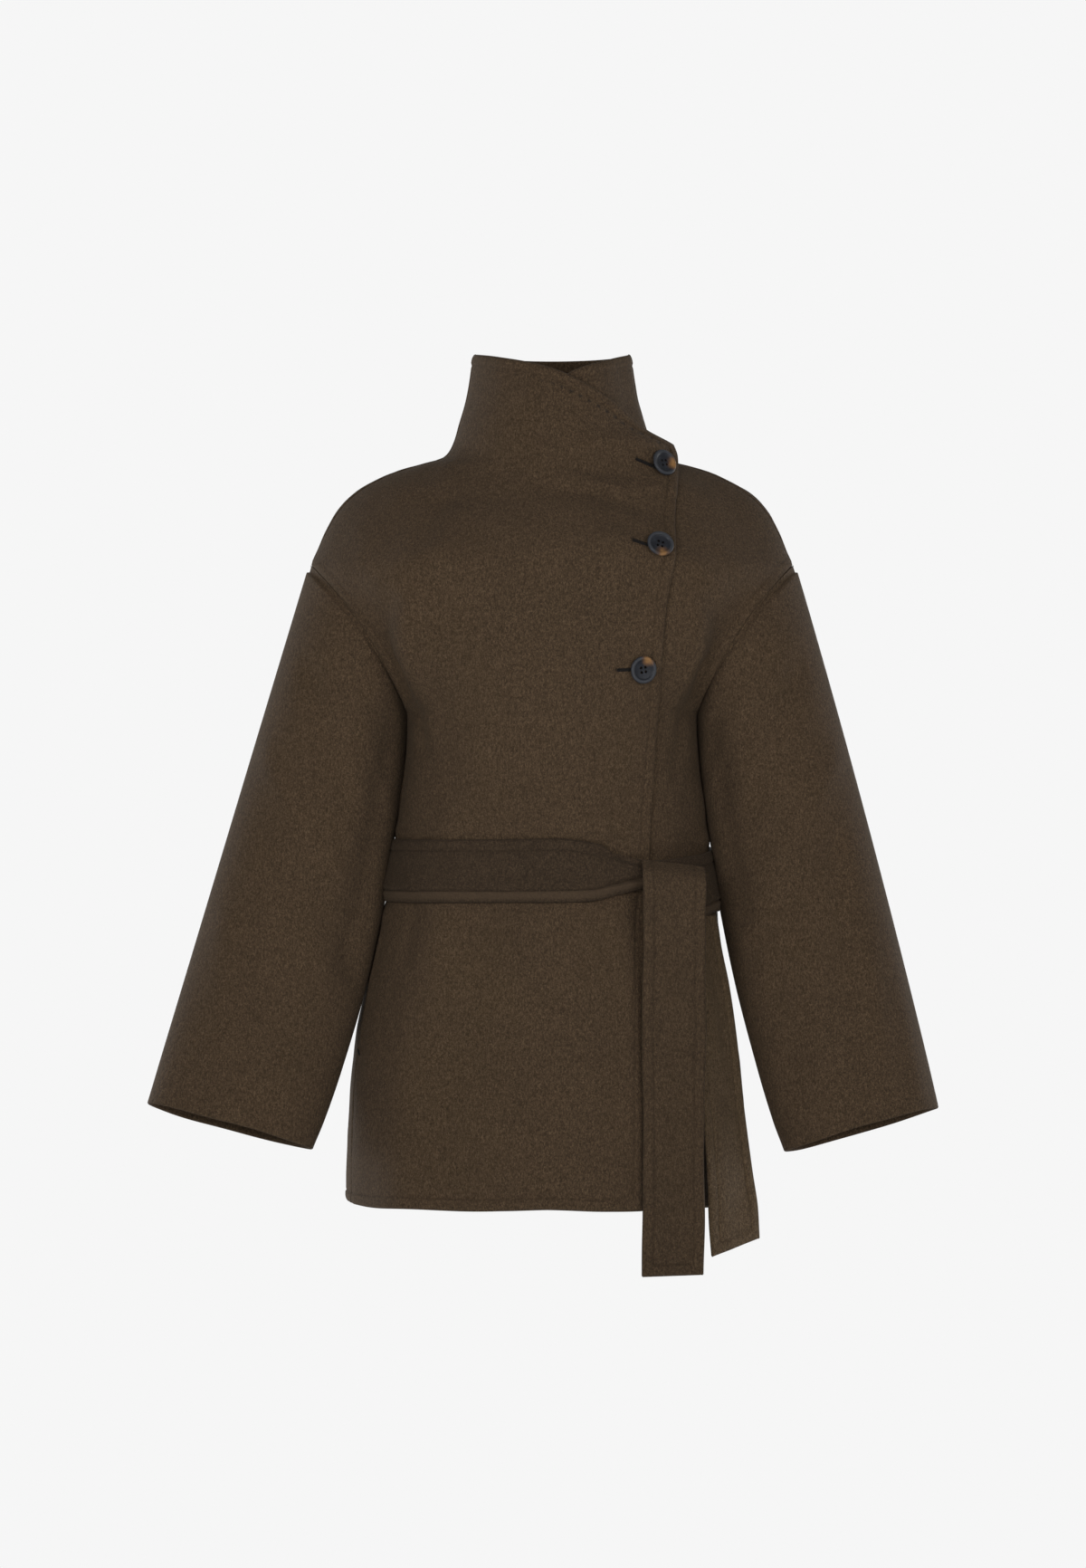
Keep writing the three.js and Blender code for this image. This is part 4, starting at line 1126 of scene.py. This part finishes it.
def hanging_strip(name, edges, top_slant, slant, sway, material):
    """Strip of belt between a left and a right edge, its ends slanting down and up to the right."""
    start = edges["z"][0]
    end = edges["z"][-1]
    length = start - end
    middle = np.arange(7, length - 14, 3.6)
    down = np.concatenate([[0, 0.8, 2, 4], middle, length - BELT_BAND[::-1]])[:, None]
    level = start - down
    share = band_shares(58, 10)[None, :]
    curves = table_curves(edges)
    left = np.stack([curves["left"](level), curves["left_y"](level), level], axis=-1)
    right = np.stack([curves["right"](level), curves["right_y"](level), level], axis=-1)
    outer = lerp(left, right, share[..., None])
    outer[..., 2] += slant * share * down / length
    outer[..., 2] -= top_slant * share * (1 - smoothstep(0, 60, down))
    across = (right - left)[:, 0]
    facing = unit(np.stack([across[:, 1], -across[:, 0], 0 * across[:, 0]], axis=-1))[:, None]
    fold = fold_height(sway, share * 56, level, 1, 1)
    outer = outer + facing * fold[..., None]
    inner = outer - facing * CLOTH
    distances, runs = zip(*(border_distance(outer, line) for line in (outer[-1], outer[:, 0], outer[:, -1])))
    edge = np.minimum.reduce(distances)
    relief = unevenness(outer, 40, 0.4) * smoothstep(0, 6, edge) + finished_edge(edge) * 1.15
    outer = outer + facing * relief[..., None]
    bend = unevenness(outer, 110, 0.5)[..., None] * np.array([1, 0.6, 0]) * smoothstep(0, 60, down)[..., None]
    marks = edge_marks(edge, runs[1], 0)
    return shell(name, outer + bend, inner + bend, material, False, ("bottom", "left", "right"), marks)


front_tail_sway = table(FOLD_NAMES, [
    (10, -410, 50, -404, 10, 1.2),
    (4, -440, 30, -470, 12, -1.2),
    (30, -500, 52, -540, 14, 1.0),
    (6, -590, 30, -640, 16, 1.1),
    (36, -650, 40, -740, 12, -1.0),
    (14, -690, 12, -750, 10, 0.9),
])
side_tail_sway = table(FOLD_NAMES, [
    (20, -440, 26, -560, 9, 2.0),
    (40, -470, 44, -700, 9, -1.4),
    (16, -600, 20, -740, 10, 1.2),
])


def belt_knot():
    """Soft pad of rolled belt behind the folded tail, with the rolls running across it."""
    across = np.linspace(0, 2 * math.pi, 72, endpoint=False)[None, :]
    up = np.linspace(math.pi / 2 - 0.02, -math.pi / 2 + 0.02, 40)[:, None]

    def squared(value):
        return np.sign(value) * np.abs(value) ** 0.7

    x = squared(np.cos(up) * np.sin(across)) * KNOT_HALF[0]
    y = -squared(np.cos(up) * np.cos(across)) * KNOT_HALF[1]
    z = squared(np.sin(up)) * KNOT_HALF[2] + 0 * x
    roll = 1 + 0.06 * np.cos(z / KNOT_HALF[2] * 5 + 0.06 * x)
    turn = math.radians(KNOT_TURN)
    points = np.stack([x * roll, y * roll, z], axis=-1)
    sine, cosine = math.sin(turn), math.cos(turn)
    points = points @ np.array([[cosine, sine, 0], [-sine, cosine, 0], [0, 0, 1]]) + np.array(KNOT_CENTRE)
    index, sides = grid_faces(*points.shape[:2], True)
    ends = [index[0, :-1][::-1].tolist(), index[-1, :-1].tolist()]
    # The knot is drawn in the slightly darker copy of the coat's cloth, as painted shade.
    piece = make_object("belt_knot_roll", points.reshape(-1, 3), sides.tolist() + ends, belt_wool)
    set_attribute(piece, "edge", "FLOAT_VECTOR", "vector", np.tile([FAR, 0, 0], x.size))
    return piece


# Buttons, buttonholes and tacks

def turned_profile():
    r = BUTTON_RADIUS
    t = BUTTON_THICKNESS
    return [
        (0, 0), (r * 0.72, 0), (r * 0.84, 0.12 * t), (r * 0.95, 0.32 * t), (r, 0.56 * t),
        (r * 0.985, 0.78 * t), (r * 0.93, 0.95 * t), (r * 0.86, t), (r * 0.79, 0.96 * t),
        (r * 0.73, 0.84 * t), (r * 0.69, 0.68 * t), (r * 0.64, 0.6 * t), (r * 0.4, 0.53 * t), (0, 0.5 * t),
    ]


def lathe(name, points, segments, material):
    vertices = [(0, 0, points[0][1])]
    faces = []
    for radius, height in points[1:-1]:
        for i in range(segments):
            turn = 2 * math.pi * i / segments
            vertices.append((radius * math.cos(turn), radius * math.sin(turn), height))
    vertices.append((0, 0, points[-1][1]))
    top = len(vertices) - 1
    rings = len(points) - 2
    for i in range(segments):
        j = (i + 1) % segments
        faces.append((0, 1 + j, 1 + i))
        for ring in range(rings - 1):
            low = 1 + ring * segments
            high = low + segments
            faces.append((low + i, low + j, high + j, high + i))
        last = 1 + (rings - 1) * segments
        faces.append((last + i, last + j, top))
    return make_object(name, vertices, faces, material)


def button_frame(button):
    """Seat and outward direction of a button on the over front."""
    x, z = button["x"], button["z"]
    angle = angle_across(x, z, flap_half_at)
    above = body_normal(angle, z + 2 * BUTTON_RADIUS / 3, True)
    below = body_normal(angle, z - 2 * BUTTON_RADIUS / 3, True)
    normal = Vector(unit(above + below))
    seat = Vector(body_place(angle, z, button["seat"], True))
    right = Vector((1, 0, 0))
    right = (right - normal * right.dot(normal)).normalized()
    up = normal.cross(right)
    return Matrix((right, up, normal)).transposed(), seat


def drill_thread_holes(body, first_turn):
    """Four holes through a button, cut one after the other."""
    radius = THREAD_HOLE_RADIUS
    for i in range(4):
        drill = lathe("drill", [(0, -1), (radius, -1), (radius, 5), (0, 5)], 16, dark_thread)
        turn = math.pi / 4 + i * math.pi / 2 + first_turn
        drill.location = Vector((math.cos(turn), math.sin(turn), 0)) * THREAD_HOLE_OFFSET * METRES
        cut = body.modifiers.new("hole", "BOOLEAN")
        cut.operation = "DIFFERENCE"
        cut.object = drill
        cut.solver = "EXACT"
        bpy.context.view_layer.update()
        depsgraph = bpy.context.evaluated_depsgraph_get()
        mesh = bpy.data.meshes.new_from_object(body.evaluated_get(depsgraph))
        body.modifiers.clear()
        body.data = mesh
        bpy.data.objects.remove(drill)
    while len(body.data.materials) > 1:
        body.data.materials.pop()
    body.data.polygons.foreach_set("material_index", [0] * len(body.data.polygons))


def seat_on_coat(piece, rotation, seat, lift):
    """Carry a piece from the button's own frame to its seat on the coat."""
    for vertex in piece.data.vertices:
        vertex.co = (rotation @ (vertex.co / METRES + Vector((0, 0, lift))) + seat) * METRES


def coat_button(button):
    material = horn("horn_" + button["name"], button["patch"])
    body = lathe(button["name"] + "_horn", turned_profile(), 64, material)
    drill_thread_holes(body, button["turn"])
    layer = body.data.uv_layers.new(name="face")
    for loop in body.data.loops:
        place = body.data.vertices[loop.vertex_index].co
        layer.data[loop.index].uv = (place.x / METRES / BUTTON_RADIUS, place.y / METRES / BUTTON_RADIUS)
    rotation, seat = button_frame(button)
    seat_on_coat(body, rotation, seat, SHANK_HEIGHT)
    body.data.shade_smooth()
    body.data.set_sharp_from_angle(angle=math.radians(40))
    top = SHANK_HEIGHT + SHANK_IN_BUTTON
    wound = [(0, -1), (2.4, -1), (1.9, 0), (2.0, top), (0, top)]
    shank = lathe(button["name"] + "_shank", wound, 20, dark_thread)
    seat_on_coat(shank, rotation, seat, 0)
    shank.parent = body
    return body


def on_over_front(x, z, out):
    """Place on the over front at a distance across and a height."""
    angle = angle_across(x, z, flap_half_at)
    return body_place(angle, z, out, True)


def tube(points, radius, closed=False, sides=6):
    """Vertices and faces of a thread along a line of points."""
    points = np.array(points)
    if closed:
        ahead = np.roll(points, -1, axis=0) - np.roll(points, 1, axis=0)
    else:
        ahead = np.gradient(points, axis=0)
    across = unit(np.cross(ahead, [0, -1, 0.2]))
    up = unit(np.cross(across, ahead))
    turn = np.linspace(0, 2 * math.pi, sides, endpoint=False)[None, :, None]
    rings = points[:, None] + radius * (np.cos(turn) * across[:, None] + np.sin(turn) * up[:, None])
    faces = []
    for i in range(len(points) if closed else len(points) - 1):
        low = i * sides
        high = (i + 1) % len(points) * sides
        for j in range(sides):
            k = (j + 1) % sides
            faces.append([low + j, low + k, high + k, high + j])
    if not closed:
        faces.append(list(range(sides))[::-1])
        faces.append(list(range((len(points) - 1) * sides, len(points) * sides)))
    return rings.reshape(-1, 3), faces


def thread_object(name, tubes):
    vertices = []
    faces = []
    for points, own_faces in tubes:
        start = sum(len(group) for group in vertices)
        vertices.append(points)
        faces += [[start + i for i in face] for face in own_faces]
    return make_object(name, np.concatenate(vertices), faces, dark_thread)


def buttonhole(hole):
    """Purled rim of a buttonhole, a dark thread line along its slit as painted shade of the opening, and the
    loose thread ends at its outer end.
    """
    left = np.array(hole["left"], dtype=float)
    right = np.array(hole["right"], dtype=float)
    along = (right - left) / np.linalg.norm(right - left)
    side = np.array([-along[1], along[0]])
    rim = []
    half = BUTTONHOLE_HALF_WIDTH
    for turn in np.linspace(0, 2 * math.pi, 40, endpoint=False):
        centre = right if math.cos(turn) > 0 else left
        wavy = half + 0.12 * math.sin(9 * turn)
        place = centre + along * half * math.cos(turn) + side * wavy * math.sin(turn)
        rim.append(on_over_front(*place, 0.75))
    # Painted shade: a dark thread tube laid along the slit stands for the shade in the opening.
    slit = [on_over_front(*(left + (right - left) * t), 0.62) for t in np.linspace(0, 1, 14)]
    tubes = [tube(rim, 0.45, True), tube(slit, 0.55)]
    for reach, rise in ((3.4, 1.2), (2.6, -1.1), (1.9, 2.4)):
        points = []
        for t in np.linspace(0, 1, 7):
            place = left - along * reach * t + side * rise * t * t
            points.append(on_over_front(*place, 0.8 + 0.5 * math.sin(math.pi * t)))
        tubes.append(tube(points, 0.16))
    return thread_object("buttonhole_" + hole["name"], tubes)


def pocket_tack(name, side):
    """Bar tack at the lower end of the pocket in the side seam."""
    points = []
    for t in np.linspace(0, 1, 8):
        z = -560 - 4.5 * t
        angle = math.radians(seam_swing_at(z)) - math.radians(0.6 + 2.6 * t)
        points.append(body_place(side * angle, z, 0.9))
    return thread_object(name, [tube(points, 0.75)])


# Pieces, what each replaces, and the cloth each was cut from

def settle(piece, node):
    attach(piece, "root")
    if node:
        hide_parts(node)


over, under, back = [body_panel(name, shape) for name, shape in panels.items()]
collar = back_collar()
sleeve_right, sleeve_left = [sleeve_tube(sleeve) for sleeve in sleeves]
belt = waist_belt()
knot = belt_knot()
# The front tail is drawn in the darker copy as painted shade, the side tail in the lighter copy as painted
# light.
front_strip = hanging_strip("belt_tail_front_cloth", front_tail, 7, 0, front_tail_sway, belt_wool)
side_strip = hanging_strip("belt_tail_side_cloth", side_tail, 0, SIDE_TAIL_SLANT, side_tail_sway, side_wool_painted_light)
for piece, node, slot in (
    (over, "front_over", "coat_wool"),
    (under, "front_under", "coat_wool"),
    (back, "back", "coat_wool"),
    (collar, "collar_back", "coat_wool"),
    (sleeve_right, "sleeve_right", "coat_wool"),
    (sleeve_left, "sleeve_left", "coat_wool"),
    (belt, "belt_waist", "belt_wool"),
    (knot, "belt_knot", "belt_wool"),
    (front_strip, "belt_tail_front", "belt_wool"),
    (side_strip, "belt_tail_side", "belt_wool"),
):
    settle(piece, node)
for button in buttons:
    settle(coat_button(button), button["name"])
hole_pieces = [buttonhole(hole) for hole in buttonholes]
tack_pieces = [pocket_tack("pocket_tack_right", -1), pocket_tack("pocket_tack_left", 1)]
for piece in hole_pieces + tack_pieces:
    settle(piece, None)


# Camera, light and floor

lights = [
    {"name": "key", "place": (-0.6, -1.5, 0.02), "aim_z": -0.2, "size": 0.8, "watts": 32},
    {"name": "fill", "place": (0.95, -1.45, 0.0), "aim_z": -0.25, "size": 0.9, "watts": 26},
    {"name": "low", "place": (0, -3.0, -2.4), "aim_z": -0.3, "size": 1.6, "watts": 96},
    {"name": "rim_right", "place": (-2.1, 1.0, -0.3), "aim_z": -0.3, "size": 1.2, "watts": 80},
    {"name": "rim_left", "place": (2.1, 1.0, -0.3), "aim_z": -0.3, "size": 1.2, "watts": 64},
    {"name": "back", "place": (0.4, 3.0, -0.3), "aim_z": -0.3, "size": 1.8, "watts": 130},
]


def area_light(row):
    light = bpy.data.lights.new(row["name"], "AREA")
    light.shape = "DISK"
    light.size = row["size"]
    light.energy = row["watts"]
    lamp = bpy.data.objects.new(row["name"], light)
    lamp.location = row["place"]
    way = Vector((0, 0, row["aim_z"])) - Vector(row["place"])
    lamp.rotation_euler = way.to_track_quat("-Z", "Y").to_euler()
    bpy.context.scene.collection.objects.link(lamp)


def studio():
    scene = bpy.context.scene
    camera_data = bpy.data.cameras.new("camera")
    camera_data.sensor_fit = "VERTICAL"
    camera_data.sensor_height = 36
    camera_data.lens = 84.59
    camera = bpy.data.objects.new("camera", camera_data)
    camera.location = (-0.0086, -3.5, -0.3105)
    camera.rotation_euler = (math.radians(90), 0, 0)
    scene.collection.objects.link(camera)
    scene.camera = camera
    scene.view_settings.view_transform = "Standard"
    world = bpy.data.worlds.new("studio")
    world.use_nodes = True
    background = world.node_tree.nodes["Background"]
    background.inputs["Color"].default_value = (0.922, 0.922, 0.922, 1)
    background.inputs["Strength"].default_value = 1.0
    scene.world = world
    for row in lights:
        area_light(row)
    floor_data = Nodes("floor_paper")
    tint = floor_data.ramp(floor_data.noise(floor_data.place(), 3), (0.3, grey(0.8)), (0.7, grey(0.83)))
    paper = floor_data.finish(Base_Color=tint)
    turn = np.linspace(0, 2 * math.pi, 96, endpoint=False)
    ring = np.stack([1200 * np.cos(turn), 1200 * np.sin(turn), -1450 + 0 * turn], axis=-1)
    floor = make_object("floor", ring, [list(range(96))], paper, False)


studio()
